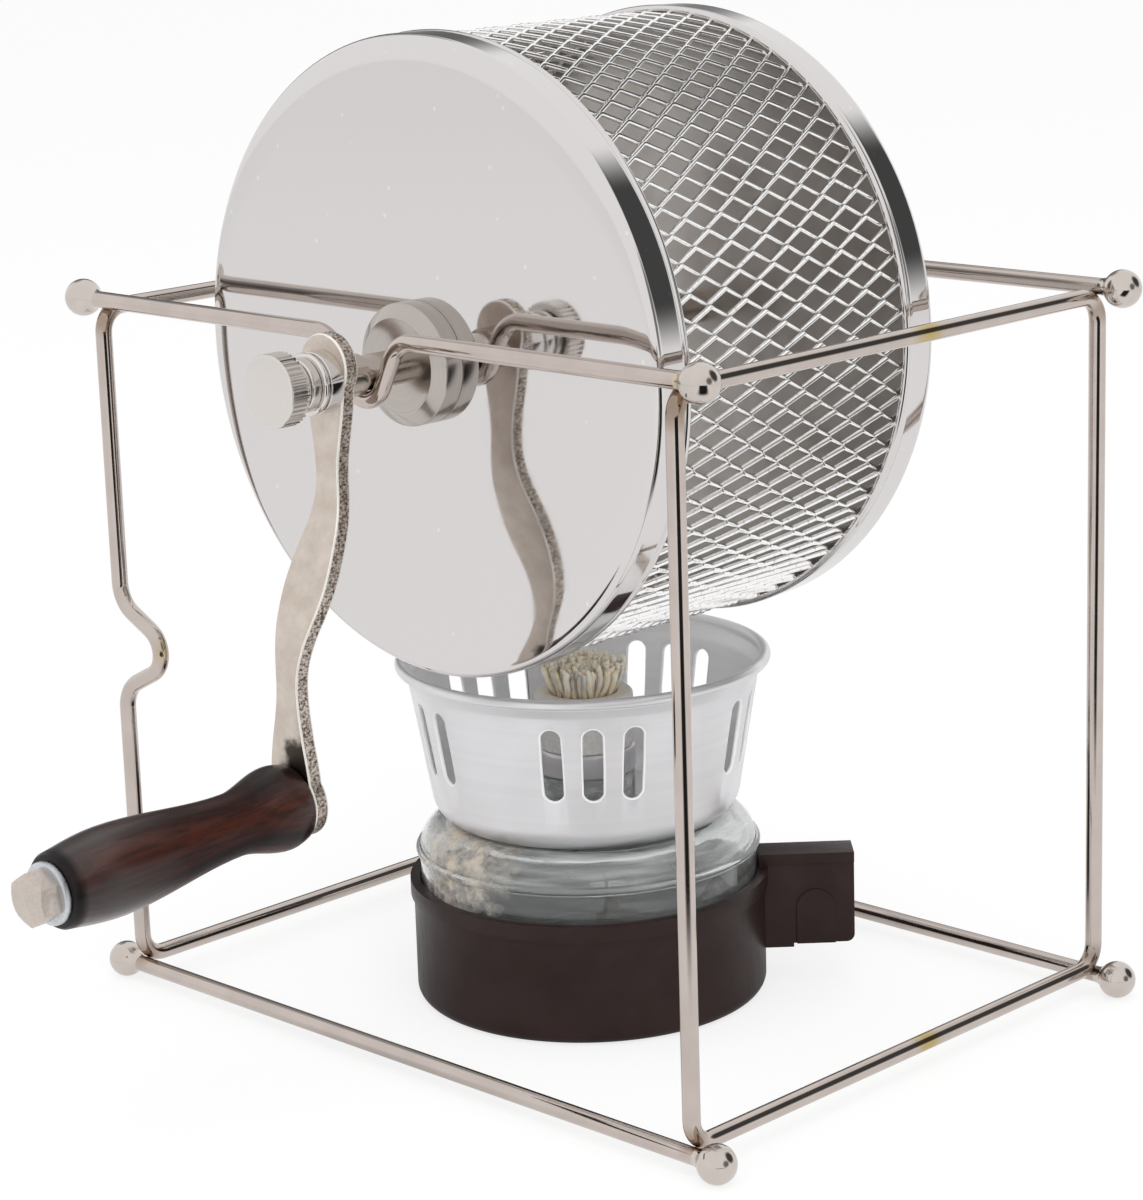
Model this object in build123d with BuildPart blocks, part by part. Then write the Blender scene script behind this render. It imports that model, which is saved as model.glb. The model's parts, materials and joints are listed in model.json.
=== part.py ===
from build123d import *
from math import cos, pi, radians, sin, sqrt, tan
import os

# Hand-crank coffee roaster: a mesh drum in a wire stand, turned over a spirit lamp.
# Millimetres. The origin is on the ground in the middle of the stand, X runs along
# the rails, Y to the back and Z up. The crank is at the front, on the -Y side.

# Wire stand
wire_dia = 4.0
ball_dia = 9.0
ball_socket = 3.0  # how deep a rail end sits in its ball
ball_socket_play = 0.05  # radial, round the rail
stand_width = 200.0  # between the balls of one rail
stand_depth = 145.0  # between the front and back rails
stand_height = 168.5  # between the bottom and top rails
hoop_inset = 7.0  # from a ball inwards to the side hoop
hoop_bend = 6.0  # centreline radius of the hoop's corners
saddle_depth = 14.25  # of the wire's centreline below the rail
saddle_slope = 63.0  # degrees, of the saddle's sides from the rail
saddle_shoulder = 7.0  # centreline radius where the saddle leaves the rail
side_saddle_height = 87.5  # of the saddles in the left hoop's posts

# Shaft and crank fittings
shaft_dia = 8.0
shaft_play = 0.1  # radial, between the shaft and the saddle wire
shaft_tail = 8.0  # shaft behind the middle of the back rail
shaft_tip_chamfer = 0.8
shoulder_dia = 9.6
shoulder_length = 5.7
shoulder_gap = 0.7  # from the front rail to the shoulder
spigot_dia = 6.0
spigot_setback = 0.4  # of the spigot's end behind the hub's face
screw_bore_dia = 4.0
screw_bore_depth = 12.0
collar_dia = 28.0
collar_length = 7.0
collar_bevel_length = 2.2  # along the shaft
collar_bevel_depth = 3.0  # towards the shaft
hub_dia = 14.0
hub_length = 5.6
hub_chamfer = 0.8

# Drum
drum_dia = 146.0
drum_length = 90.3
drum_setback = 18.3  # from the front rail to the drum's front rim
rim_radius = 0.8  # of the rolled rim
panel_rise = 1.6  # of a cap's flat panel before its rim
panel_shoulder = 7.0  # width of the panel's rounded edge
sheet = 0.8
skirt_width = 9.0
mesh_sheet = 1.2
mesh_around = 36
mesh_panels = 18  # edge to edge round the drum
mesh_rows = 6
mesh_strand = 2.6  # between neighbouring diamonds

# Crank arm and grip
crank_radius = 93.9  # from the shaft to the grip's bolt
crank_hang = 2.0  # degrees, of the crank from straight down
arm_thickness = 3.9
arm_joggle = 13.5  # outwards, between the arm's two straight ends
joggle_start = 29.0  # from the shaft
joggle_end = 59.5  # from the shaft
joggle_bend = 30.0  # radius at the arm's back
eye_bend_at = 14.0  # from the grip's bolt
grip_droop = 2.8  # degrees, of the arm's end and the grip
top_eye_radius = 7.5
top_eye_shift = (-0.3, 3.0)  # of the eye's middle from the shaft
grip_eye_radius = 8.3
top_neck_width = 12.0  # of the arm at the shaft, inside the eye
top_waist_width = 7.1
top_waist_at = 21.0  # from the shaft
belly_width = 13.0
belly_at = 45.0  # from the shaft
grip_waist_width = 6.9
grip_waist_rise = 27.0  # from the grip's bolt
grip_neck_width = 13.6  # of the arm at the grip, inside the eye
grip_length = 66.8
grip_barrel_dia = 20.2
grip_barrel_at = 15.0  # from the free end
grip_waist_dia = 14.4
grip_waist_at = 17.5  # from the arm
grip_flare_dia = 19.6
grip_flare_at = 4.5  # from the arm
grip_face_dia = 16.6
grip_foot_dia = 17.6
bolt_dia = 6.0
bolt_head_flats = 10.0
bolt_head_height = 4.0
bolt_turn = 35.0  # degrees, of a corner of the head from straight across
washer_dia = 14.0
washer_thickness = 1.6
bore_play = 0.1  # radial, of the grip on the bolt and the screw in its bore
end_play = 0.3  # along the axis, between pieces that turn on each other

# Thumb screw
knurl_dia = 16.4
knurl_length = 5.1
knurl_count = 34
knurl_depth = 0.45
screw_neck_dia = 12.2
screw_neck_length = 5.1
screw_stem_length = 10.0

# Spirit lamp
lamp_place = (-5.3, -1.4)
base_dia = 86.4
base_height = 30.0
base_wall = 1.6
base_floor = 3.0
base_foot_round = 3.0
lip_dia = 88.0
lip_height = 4.0
handle_turn = 45.0  # degrees from +X
handle_reach = 65.0  # from the lamp's axis
handle_bottom = 10.0
handle_top = 33.3
handle_step = 1.0  # the handle's root is this much deeper
handle_step_at = 50.0
handle_thickness = 8.0
handle_round = 2.0
handle_ledge = 0.7  # of the top rim over the faces
handle_ledge_height = 2.6
thumb_tongue_width = 9.5
thumb_tongue_height = 14.0
thumb_tongue_relief = 0.6
thumb_tongue_inset = 9.5  # from the handle's end to the tongue's middle
glass_gap = 0.3
glass_wall = 2.5
glass_height = 46.5  # of the shoulder above the ground
glass_shoulder = 8.0
glass_bead_radius = 1.0
glass_land = 0.1  # straight glass between the bead and the shoulder's round
neck_dia = 24.0
neck_bore_dia = 19.0
neck_height = 9.4
neck_fillet = 2.0
burner_dia = 24.6
burner_bore_dia = 10.0
burner_height = 6.3
burner_plug_length = 5.0
burner_plug_play = 0.2
holder_dia = 24.0
holder_bore_dia = 16.0
holder_height = 13.3
holder_chamfer = 0.8
wick_play = 0.4
wick_tail_dia = 8.0
wick_tail_lift = 2.5  # of the tail's end above the glass
wick_foot_dia = 19.6
wick_bulge_dia = 21.6
wick_bulge_rise = 5.0
wick_top_dia = 12.0
wick_rise = 9.0
bowl_height = 37.5
bowl_wall = 1.0
bowl_bottom_dia = 73.2
bowl_mouth_dia = 88.6
bowl_round = 7.0
bowl_rim_radius = 1.3
bowl_hole_play = 0.5
slot_length = 18.0
slot_width = 4.7
slot_rise = 21.7  # from the bowl's bottom to the slots' middle
slot_groups = 5
slot_step = 13.7  # degrees, within a group
slot_turn = -43.0  # degrees from +X, of the first group's middle slot

# Heights and places worked out from the sizes above
wire_radius = wire_dia / 2
ball_radius = ball_dia / 2
shaft_radius = shaft_dia / 2
rail_y = stand_depth / 2
bottom_rail_z = ball_radius
top_rail_z = bottom_rail_z + stand_height
rail_end = stand_width / 2 - ball_radius + ball_socket
hoop_x = stand_width / 2 - hoop_inset
corner_reach = hoop_bend + wire_dia
hoop_step = sqrt(corner_reach**2 - hoop_bend**2) - hoop_bend
hoop_bottom = bottom_rail_z + hoop_step
hoop_top = top_rail_z - hoop_step

# Saddle of a wire: two straight sides that meet in an arc round the shaft
saddle_floor = shaft_radius + shaft_play + wire_radius
saddle_point = saddle_depth + saddle_floor * (1 / cos(radians(saddle_slope)) - 1)
saddle_half = saddle_point / tan(radians(saddle_slope))
shaft_z = top_rail_z - saddle_depth + saddle_floor
shaft_axis = Axis((0, 0, shaft_z), (0, 1, 0))

# Places along the shaft, from the back to the front
tail_y = rail_y + shaft_tail
drum_front = -rail_y + drum_setback
drum_back = drum_front + drum_length
shoulder_y = -rail_y - wire_radius - shoulder_gap
arm_back = shoulder_y - shoulder_length
arm_front = arm_back - arm_thickness
hub_front = arm_front - hub_length
spigot_end = hub_front + spigot_setback
screw_back = hub_front - end_play

# Places along the grip, from the arm outwards
grip_foot = end_play
grip_face = grip_foot + grip_length
washer_back = grip_face + end_play
bolt_seat = washer_back + washer_thickness

drum_radius = drum_dia / 2
mesh_radius = drum_radius - sheet
crease_radius = drum_radius - 2 * rim_radius
panel_radius = crease_radius - panel_shoulder
disc_depth = rim_radius + sheet
lamp_axis = Axis((*lamp_place, 0), (0, 0, 1))

# Heights in the lamp, each stage on the one below
neck_top = glass_height + neck_height
burner_top = neck_top + burner_height
holder_top = burner_top + holder_height
wick_top = holder_top + wick_rise
bowl_rim_z = glass_height + bowl_height

# Drawing planes: along the shaft, across it, and upright through the lamp
shaft_side = Plane(origin=(0, 0, shaft_z), x_dir=(0, 1, 0), z_dir=(1, 0, 0))
lamp_side = Plane(origin=(*lamp_place, 0), x_dir=(1, 0, 0), z_dir=(0, -1, 0))


# The crank's own directions, and the place on the arm's front where the grip sits
droop = radians(grip_droop)
crank_up = Vector(sin(radians(crank_hang)), 0, cos(radians(crank_hang)))
crank_across = Vector(cos(radians(crank_hang)), 0, -sin(radians(crank_hang)))
grip_out = Vector(0, -cos(droop), 0) - crank_up * sin(droop)
eye_back = arm_back - arm_joggle + eye_bend_at * tan(droop)
grip_seat = Vector(0, eye_back, shaft_z) - crank_up * crank_radius + grip_out * arm_thickness
grip_axis = Axis(grip_seat, grip_out)
arm_side = Plane(origin=(0, 0, shaft_z), x_dir=(0, 1, 0), z_dir=crank_across)
grip_side = Plane(origin=grip_seat, x_dir=grip_out, z_dir=crank_across)


def facing_front(y):
    """Plane across the shaft at y, which looks to the front."""
    return Plane(origin=(0, y, shaft_z), x_dir=(1, 0, 0), z_dir=(0, -1, 0))


def across_grip(distance):
    """Plane across the grip at a distance from the arm, which looks to the free end."""
    return Plane(origin=grip_seat + grip_out * distance, x_dir=crank_across, z_dir=grip_out)


os.makedirs("parts", exist_ok=True)

# Side hoops, each bent from one wire and closed at the back by its mirror image
for side, x, has_saddle in (("left", -hoop_x, True), ("right", hoop_x, False)):
    post_bends = []
    post_radii = []
    if has_saddle:
        post_bends = [
            (x, -rail_y, side_saddle_height + saddle_half),
            (x + saddle_point, -rail_y, side_saddle_height),
            (x, -rail_y, side_saddle_height - saddle_half),
        ]
        post_radii = [saddle_shoulder, saddle_floor, saddle_shoulder]
    with BuildPart() as side_hoop:
        with BuildLine() as run:
            FilletPolyline(
                (x, 0, hoop_top),
                (x, -rail_y, hoop_top),
                *post_bends,
                (x, -rail_y, hoop_bottom),
                (x, 0, hoop_bottom),
                radius=[hoop_bend, *post_radii, hoop_bend],
            )
        with BuildSketch(Plane(origin=run.line @ 0, z_dir=run.line % 0)):
            Circle(wire_radius)
        sweep()
        mirror(about=Plane.XZ)
    side_hoop.part.label = f"{side}_side_hoop"
    export_step(side_hoop.part, f"parts/{side}_side_hoop.step")

# Top rails with the saddle that carries the shaft, and plain bottom rails
for end, y in (("front", -rail_y), ("back", rail_y)):
    with BuildPart() as top_rail:
        with BuildLine() as run:
            FilletPolyline(
                (-rail_end, y, top_rail_z),
                (-saddle_half, y, top_rail_z),
                (0, y, top_rail_z - saddle_point),
                (saddle_half, y, top_rail_z),
                (rail_end, y, top_rail_z),
                radius=[saddle_shoulder, saddle_floor, saddle_shoulder],
            )
        with BuildSketch(Plane(origin=run.line @ 0, z_dir=run.line % 0)):
            Circle(wire_radius)
        sweep()
    top_rail.part.label = f"top_{end}_rail"
    export_step(top_rail.part, f"parts/top_{end}_rail.step")

    with BuildPart() as bottom_rail:
        with BuildSketch(Plane(origin=(0, y, bottom_rail_z), z_dir=(1, 0, 0))):
            Circle(wire_radius)
        extrude(amount=rail_end, both=True)
    bottom_rail.part.label = f"bottom_{end}_rail"
    export_step(bottom_rail.part, f"parts/bottom_{end}_rail.step")

# Balls on the rail ends, each turned with a blind socket for the rail
socket_radius = wire_radius + ball_socket_play
socket_floor = ball_socket - ball_radius
socket_mouth = -sqrt(ball_radius**2 - socket_radius**2)
for name, z in (("foot_balls", bottom_rail_z), ("top_balls", top_rail_z)):
    with BuildPart() as balls:
        for side, y in ((-1, -rail_y), (-1, rail_y), (1, -rail_y), (1, rail_y)):
            middle = (side * stand_width / 2, y, z)
            with BuildSketch(Plane(origin=middle, x_dir=(side, 0, 0), z_dir=(0, -side, 0))):
                with BuildLine():
                    ThreePointArc(
                        (ball_radius, 0), (0, ball_radius), (socket_mouth, socket_radius)
                    )
                    Polyline(
                        (socket_mouth, socket_radius),
                        (socket_floor, socket_radius),
                        (socket_floor, 0),
                        (ball_radius, 0),
                    )
                make_face()
            revolve(axis=Axis(middle, (1, 0, 0)))
    balls.part.label = name
    export_step(balls.part, f"parts/{name}.step")

# Shaft: plain through the drum and both saddles, stepped down for the crank
with BuildPart() as drum_shaft:
    with BuildSketch(shaft_side):
        with BuildLine():
            Polyline(
                (tail_y, 0),
                (tail_y, shaft_radius - shaft_tip_chamfer),
                (tail_y - shaft_tip_chamfer, shaft_radius),
                (shoulder_y, shaft_radius),
                (shoulder_y, shoulder_dia / 2),
                (arm_back, shoulder_dia / 2),
                (arm_back, spigot_dia / 2),
                (spigot_end, spigot_dia / 2),
                (spigot_end, screw_bore_dia / 2),
                (spigot_end + screw_bore_depth, screw_bore_dia / 2),
                (spigot_end + screw_bore_depth, 0),
                close=True,
            )
        make_face()
    revolve(axis=shaft_axis)
drum_shaft.part.label = "drum_shaft"
export_step(drum_shaft.part, "parts/drum_shaft.step")

# End caps with a raised panel, rolled rim and skirt, and the collars that hold them on the shaft
for end, y, inwards in (("front", drum_front, 1), ("back", drum_back, -1)):
    cap_side = Plane(origin=(0, y, shaft_z), x_dir=(0, inwards, 0), z_dir=(inwards, 0, 0))
    with BuildPart() as end_cap:
        with BuildSketch(cap_side):
            with BuildLine():
                Line((-panel_rise, shaft_radius), (-panel_rise, panel_radius))
                TangentArc(
                    (-panel_rise, panel_radius), (rim_radius, crease_radius), tangent=(0, 1)
                )
                ThreePointArc(
                    (rim_radius, crease_radius),
                    (0, drum_radius - rim_radius),
                    (rim_radius, drum_radius),
                )
                Polyline(
                    (rim_radius, drum_radius),
                    (skirt_width, drum_radius),
                    (skirt_width, mesh_radius),
                    (disc_depth, mesh_radius),
                    (disc_depth, crease_radius),
                    (sheet - panel_rise, panel_radius),
                    (sheet - panel_rise, shaft_radius),
                    (-panel_rise, shaft_radius),
                )
            make_face()
        revolve(axis=shaft_axis)
    end_cap.part.label = f"{end}_end_cap"
    export_step(end_cap.part, f"parts/{end}_end_cap.step")

    collar_end = -panel_rise - collar_length
    with BuildPart() as collar:
        with BuildSketch(cap_side):
            with BuildLine():
                Polyline(
                    (-panel_rise, shaft_radius),
                    (-panel_rise, collar_dia / 2),
                    (collar_end + collar_bevel_length, collar_dia / 2),
                    (collar_end, collar_dia / 2 - collar_bevel_depth),
                    (collar_end, shaft_radius),
                    close=True,
                )
            make_face()
        revolve(axis=shaft_axis)
    collar.part.label = f"{end}_collar"
    export_step(collar.part, f"parts/{end}_collar.step")

# Drum wall of expanded metal: staggered rows of diamonds, in narrow panels edge to edge
mesh_start = drum_front + disc_depth
mesh_length = drum_length - 2 * disc_depth
open_start = drum_front + skirt_width
open_length = drum_length - 2 * skirt_width
row_pitch = open_length / (mesh_rows + 1)
diamond_pitch = 2 * pi * mesh_radius / mesh_around
diamond_slope = sqrt(diamond_pitch**2 + (2 * row_pitch) ** 2)
diamond_width = diamond_pitch - mesh_strand * diamond_slope / (2 * row_pitch)
diamond_length = 2 * row_pitch - mesh_strand * diamond_slope / diamond_pitch
cut_start = mesh_radius - 2 * mesh_sheet
panel_columns = mesh_around // mesh_panels
panel_reach = 2 * mesh_radius
panel_edges = [pi / 2 - pi * (2 * step - 1) / mesh_around for step in (0, panel_columns)]
diamond_planes = []
for row in range(mesh_rows):
    shift = row % 2
    for step in range(-shift, panel_columns):
        turn = 2 * pi * (step + shift / 2) / mesh_around
        outwards = Vector(sin(turn), 0, cos(turn))
        middle = Vector(0, open_start + (row + 1) * row_pitch, shaft_z) + outwards * cut_start
        diamond_planes.append(Plane(origin=middle, x_dir=(0, 1, 0), z_dir=outwards))
with BuildPart() as mesh_panel:
    with BuildSketch(facing_front(mesh_start)):
        RegularPolygon(mesh_radius, 2 * mesh_around)
        RegularPolygon(mesh_radius - mesh_sheet, 2 * mesh_around, mode=Mode.SUBTRACT)
        with BuildLine():
            Polyline(
                (0, 0),
                *[(panel_reach * cos(edge), panel_reach * sin(edge)) for edge in panel_edges],
                close=True,
            )
        make_face(mode=Mode.INTERSECT)
    extrude(amount=-mesh_length)
    with BuildSketch(*diamond_planes):
        with BuildLine():
            Polyline(
                (-diamond_length / 2, 0),
                (0, -diamond_width / 2),
                (diamond_length / 2, 0),
                (0, diamond_width / 2),
                close=True,
            )
        make_face()
    extrude(amount=3 * mesh_sheet, mode=Mode.SUBTRACT)
panel_turn = 360 / mesh_panels
drum_mesh = Compound(
    [mesh_panel.solid().rotate(shaft_axis, panel * panel_turn) for panel in range(mesh_panels)]
)
drum_mesh.label = "drum_mesh"
export_step(drum_mesh, "parts/drum_mesh.step")

# Crank arm: a flat bar joggled outwards, then cut to two eyes, two waists and a belly
arm_top = top_eye_shift[1] + top_eye_radius
eye_run = eye_bend_at + grip_eye_radius
widest = max(belly_width / 2, grip_eye_radius, top_eye_radius + abs(top_eye_shift[0]))
with BuildPart() as crank_arm:
    with BuildSketch(arm_side):
        with BuildLine():
            back_line = FilletPolyline(
                (arm_back, arm_top),
                (arm_back, -joggle_start),
                (arm_back - arm_joggle, -joggle_end),
                (arm_back - arm_joggle, eye_bend_at - crank_radius),
                (arm_back - arm_joggle + eye_run * tan(droop), eye_bend_at - crank_radius - eye_run),
                radius=joggle_bend,
            )
            offset(back_line, amount=arm_thickness, side=Side.RIGHT)
        make_face()
    extrude(amount=widest, both=True)
    with BuildSketch(Plane(origin=(0, arm_back, shaft_z), x_dir=crank_across, z_dir=(0, -1, 0))):
        with BuildLine():
            edge = Spline(
                (top_neck_width / 2, 0),
                (top_waist_width / 2, -top_waist_at),
                (belly_width / 2, -belly_at),
                (grip_waist_width / 2, grip_waist_rise - crank_radius),
                (grip_neck_width / 2, -crank_radius),
                tangents=5 * ((0, -1),),
            )
            Line(edge @ 0, (0, 0))
            Line((0, 0), (0, -crank_radius))
            Line((0, -crank_radius), edge @ 1)
        make_face()
        mirror(about=Plane.YZ)
        with Locations(top_eye_shift):
            Circle(top_eye_radius)
        with Locations((0, -crank_radius)):
            Circle(grip_eye_radius)
        Circle(spigot_dia / 2, mode=Mode.SUBTRACT)
    extrude(amount=arm_joggle + 2 * arm_thickness, both=True, mode=Mode.INTERSECT)
    with BuildSketch(across_grip(-2 * arm_thickness)):
        Circle(bolt_dia / 2)
    extrude(amount=4 * arm_thickness, mode=Mode.SUBTRACT)
crank_arm.part.label = "crank_arm"
export_step(crank_arm.part, "parts/crank_arm.step")

# Crank hub: a short bush on the spigot in front of the arm
with BuildPart() as crank_hub:
    with BuildSketch(facing_front(arm_front)):
        Circle(hub_dia / 2)
        Circle(spigot_dia / 2, mode=Mode.SUBTRACT)
    extrude(amount=hub_length)
    front_face = crank_hub.faces().sort_by(Axis.Y)[0]
    chamfer(front_face.outer_wire().edges(), hub_chamfer)
crank_hub.part.label = "crank_hub"
export_step(crank_hub.part, "parts/crank_hub.step")

# Thumb screw: a knurled head on a plain neck, with its stem in the shaft's bore
with BuildPart() as thumb_screw:
    with BuildSketch(facing_front(screw_back)):
        Circle(screw_neck_dia / 2)
    extrude(amount=screw_neck_length)
    with BuildSketch(facing_front(screw_back - screw_neck_length)):
        Circle(knurl_dia / 2)
        with PolarLocations(knurl_dia / 2, knurl_count):
            RegularPolygon(knurl_depth, 4, mode=Mode.SUBTRACT)
    extrude(amount=knurl_length)
    with BuildSketch(facing_front(screw_back)):
        Circle(screw_bore_dia / 2 - bore_play)
    extrude(amount=-screw_stem_length)
thumb_screw.part.label = "thumb_screw"
export_step(thumb_screw.part, "parts/thumb_screw.step")

# Wooden grip: turned barrel with a waist towards the arm, bored to run on the bolt
with BuildPart() as wooden_grip:
    with BuildSketch(grip_side):
        with BuildLine():
            barrel = (grip_face - grip_barrel_at, grip_barrel_dia / 2)
            waist = (grip_foot + grip_waist_at, grip_waist_dia / 2)
            flare = (grip_foot + grip_flare_at, grip_flare_dia / 2)
            Spline(flare, waist, barrel, tangents=3 * ((1, 0),))
            face_round = TangentArc(barrel, (grip_face, grip_face_dia / 2), tangent=(1, 0))
            foot_round = TangentArc(flare, (grip_foot, grip_foot_dia / 2), tangent=(-1, 0))
            Polyline(
                foot_round @ 1,
                (grip_foot, bolt_dia / 2 + bore_play),
                (grip_face, bolt_dia / 2 + bore_play),
                face_round @ 1,
            )
        make_face()
    revolve(axis=grip_axis)
wooden_grip.part.label = "wooden_grip"
export_step(wooden_grip.part, "parts/wooden_grip.step")

# Grip bolt, with its end in the arm, and the washer under its head
with BuildPart() as grip_bolt:
    with BuildSketch(across_grip(bolt_seat)):
        RegularPolygon(bolt_head_flats / 2, 6, major_radius=False, rotation=bolt_turn)
    extrude(amount=bolt_head_height)
    with BuildSketch(across_grip(bolt_seat)):
        Circle(bolt_dia / 2)
    extrude(amount=-bolt_seat - arm_thickness)
grip_bolt.part.label = "grip_bolt"
export_step(grip_bolt.part, "parts/grip_bolt.step")

with BuildPart() as grip_washer:
    with BuildSketch(across_grip(washer_back)):
        Circle(washer_dia / 2)
        Circle(bolt_dia / 2, mode=Mode.SUBTRACT)
    extrude(amount=washer_thickness)
grip_washer.part.label = "grip_washer"
export_step(grip_washer.part, "parts/grip_washer.step")

# Lamp base: a moulded cup with a lip, and a handle in one piece with it
base_radius = base_dia / 2
base_bore = base_radius - base_wall
handle_out = Vector(cos(radians(handle_turn)), sin(radians(handle_turn)), 0)
handle_side = Plane(
    origin=(*lamp_place, 0),
    x_dir=handle_out,
    z_dir=(handle_out.Y, -handle_out.X, 0),
)
handle_length = handle_reach - base_bore
with BuildPart() as lamp_base:
    with BuildSketch(lamp_side):
        with BuildLine():
            Line((0, 0), (base_radius - base_foot_round, 0))
            RadiusArc(
                (base_radius - base_foot_round, 0),
                (base_radius, base_foot_round),
                -base_foot_round,
            )
            Polyline(
                (base_radius, base_foot_round),
                (base_radius, base_height - lip_height),
                (lip_dia / 2, base_height - lip_height),
                (lip_dia / 2, base_height),
                (0, base_height),
                (0, 0),
            )
        make_face()
    revolve(axis=lamp_axis)
    with BuildSketch(handle_side) as handle_face:
        with BuildLine():
            Polyline(
                (base_bore, handle_bottom - handle_step),
                (handle_step_at, handle_bottom - handle_step),
                (handle_step_at, handle_bottom),
                (handle_reach, handle_bottom),
                (handle_reach, handle_top),
                (base_bore, handle_top),
                close=True,
            )
        make_face()
        fillet(handle_face.vertices().sort_by(Axis.X)[-2:], handle_round)
    extrude(amount=handle_thickness / 2, both=True)
    with BuildSketch(handle_side):
        with Locations((handle_reach - handle_length / 2, handle_top - handle_ledge_height / 2)):
            Rectangle(handle_length, handle_ledge_height)
    extrude(amount=handle_thickness / 2 + handle_ledge, both=True)
    with BuildSketch(handle_side):
        with Locations((handle_reach - thumb_tongue_inset, handle_bottom)):
            with Locations((0, (thumb_tongue_height - thumb_tongue_width / 2) / 2)):
                Rectangle(thumb_tongue_width, thumb_tongue_height - thumb_tongue_width / 2)
            with Locations((0, thumb_tongue_height - thumb_tongue_width / 2)):
                Circle(thumb_tongue_width / 2)
    extrude(amount=handle_thickness / 2 + thumb_tongue_relief, both=True)
    with BuildSketch(Plane.XY.offset(base_floor)):
        with Locations(lamp_place):
            Circle(base_bore)
    extrude(amount=handle_top, mode=Mode.SUBTRACT)
lamp_base.part.label = "lamp_base"
export_step(lamp_base.part, "parts/lamp_base.step")

# Glass reservoir: a thick-walled pot with a beaded shoulder and a short neck
glass_radius = base_bore - glass_gap
glass_inner = glass_radius - glass_wall
bead_top = glass_height - glass_shoulder - glass_land
bead_middle = bead_top - glass_bead_radius
bead_bottom = bead_middle - glass_bead_radius
with BuildPart() as glass_reservoir:
    with BuildSketch(lamp_side):
        with BuildLine():
            Polyline(
                (0, base_floor + glass_wall),
                (0, base_floor),
                (glass_radius, base_floor),
                (glass_radius, bead_bottom),
            )
            ThreePointArc(
                (glass_radius, bead_bottom),
                (glass_radius + glass_bead_radius, bead_middle),
                (glass_radius, bead_top),
            )
            FilletPolyline(
                (glass_radius, bead_top),
                (glass_radius, glass_height),
                (neck_dia / 2, glass_height),
                (neck_dia / 2, neck_top),
                radius=[glass_shoulder, neck_fillet],
            )
            Polyline(
                (neck_dia / 2, neck_top),
                (neck_bore_dia / 2, neck_top),
                (neck_bore_dia / 2, glass_height - glass_wall),
                (glass_inner - glass_wall, glass_height - glass_wall),
                (glass_inner, glass_height - 2 * glass_wall),
                (glass_inner, base_floor + glass_wall),
                (0, base_floor + glass_wall),
            )
        make_face()
    revolve(axis=lamp_axis)
glass_reservoir.part.label = "glass_reservoir"
export_step(glass_reservoir.part, "parts/glass_reservoir.step")

# Burner collar: sits on the neck, with a plug that centres it
plug_radius = neck_bore_dia / 2 - burner_plug_play
with BuildPart() as burner_collar:
    with BuildSketch(lamp_side):
        with BuildLine():
            Polyline(
                (burner_bore_dia / 2, burner_top),
                (burner_dia / 2, burner_top),
                (burner_dia / 2, neck_top),
                (plug_radius, neck_top),
                (plug_radius, neck_top - burner_plug_length),
                (burner_bore_dia / 2, neck_top - burner_plug_length),
                close=True,
            )
        make_face()
    revolve(axis=lamp_axis)
burner_collar.part.label = "burner_collar"
export_step(burner_collar.part, "parts/burner_collar.step")

# Ceramic wick holder: a tube with a chamfered top edge
with BuildPart() as wick_holder:
    with BuildSketch(Plane.XY.offset(burner_top)):
        with Locations(lamp_place):
            Circle(holder_dia / 2)
            Circle(holder_bore_dia / 2, mode=Mode.SUBTRACT)
    extrude(amount=holder_height)
    top_face = wick_holder.faces().sort_by(Axis.Z)[-1]
    chamfer(top_face.outer_wire().edges(), holder_chamfer)
wick_holder.part.label = "wick_holder"
export_step(wick_holder.part, "parts/wick_holder.step")

# Wick: a cotton bunch that spreads over the holder, with its tail down in the reservoir
wick_bottom = base_floor + glass_wall + wick_tail_lift
with BuildPart() as wick:
    with BuildSketch(lamp_side):
        with BuildLine():
            Polyline(
                (0, wick_bottom),
                (wick_tail_dia / 2, wick_bottom),
                (wick_tail_dia / 2, burner_top + wick_play),
                (holder_bore_dia / 2 - wick_play, burner_top + wick_play),
                (holder_bore_dia / 2 - wick_play, holder_top),
                (wick_foot_dia / 2, holder_top),
            )
            Spline(
                (wick_foot_dia / 2, holder_top),
                (wick_bulge_dia / 2, holder_top + wick_bulge_rise),
                (wick_top_dia / 2, wick_top),
            )
            Polyline((wick_top_dia / 2, wick_top), (0, wick_top), (0, wick_bottom))
        make_face()
    revolve(axis=lamp_axis)
wick.part.label = "wick"
export_step(wick.part, "parts/wick.step")

# Windshield bowl: a spun cup with a rolled rim and five groups of three air slots
bowl_hole = neck_dia / 2 + neck_fillet + bowl_hole_play
slot_planes = []
for group in range(slot_groups):
    for place in (-1, 0, 1):
        turn = radians(slot_turn + group * 360 / slot_groups + place * slot_step)
        slot_planes.append(
            Plane(
                origin=(*lamp_place, glass_height + slot_rise),
                x_dir=(0, 0, 1),
                z_dir=(cos(turn), sin(turn), 0),
            )
        )
with BuildPart() as windshield_bowl:
    with BuildSketch(lamp_side):
        with BuildLine():
            wall_line = FilletPolyline(
                (bowl_hole, glass_height),
                (bowl_bottom_dia / 2, glass_height),
                (bowl_mouth_dia / 2, bowl_rim_z),
                radius=bowl_round,
            )
            offset(wall_line, amount=bowl_wall, side=Side.LEFT)
        make_face()
        with Locations((bowl_mouth_dia / 2, bowl_rim_z)):
            Circle(bowl_rim_radius)
    revolve(axis=lamp_axis)
    with BuildSketch(*slot_planes):
        SlotOverall(slot_length, slot_width)
    extrude(amount=bowl_mouth_dia, mode=Mode.SUBTRACT)
windshield_bowl.part.label = "windshield_bowl"
export_step(windshield_bowl.part, "parts/windshield_bowl.step")
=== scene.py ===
from functools import partial
import json
from math import acos, cos, pi, radians, sin, sqrt, tan
import random

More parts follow.
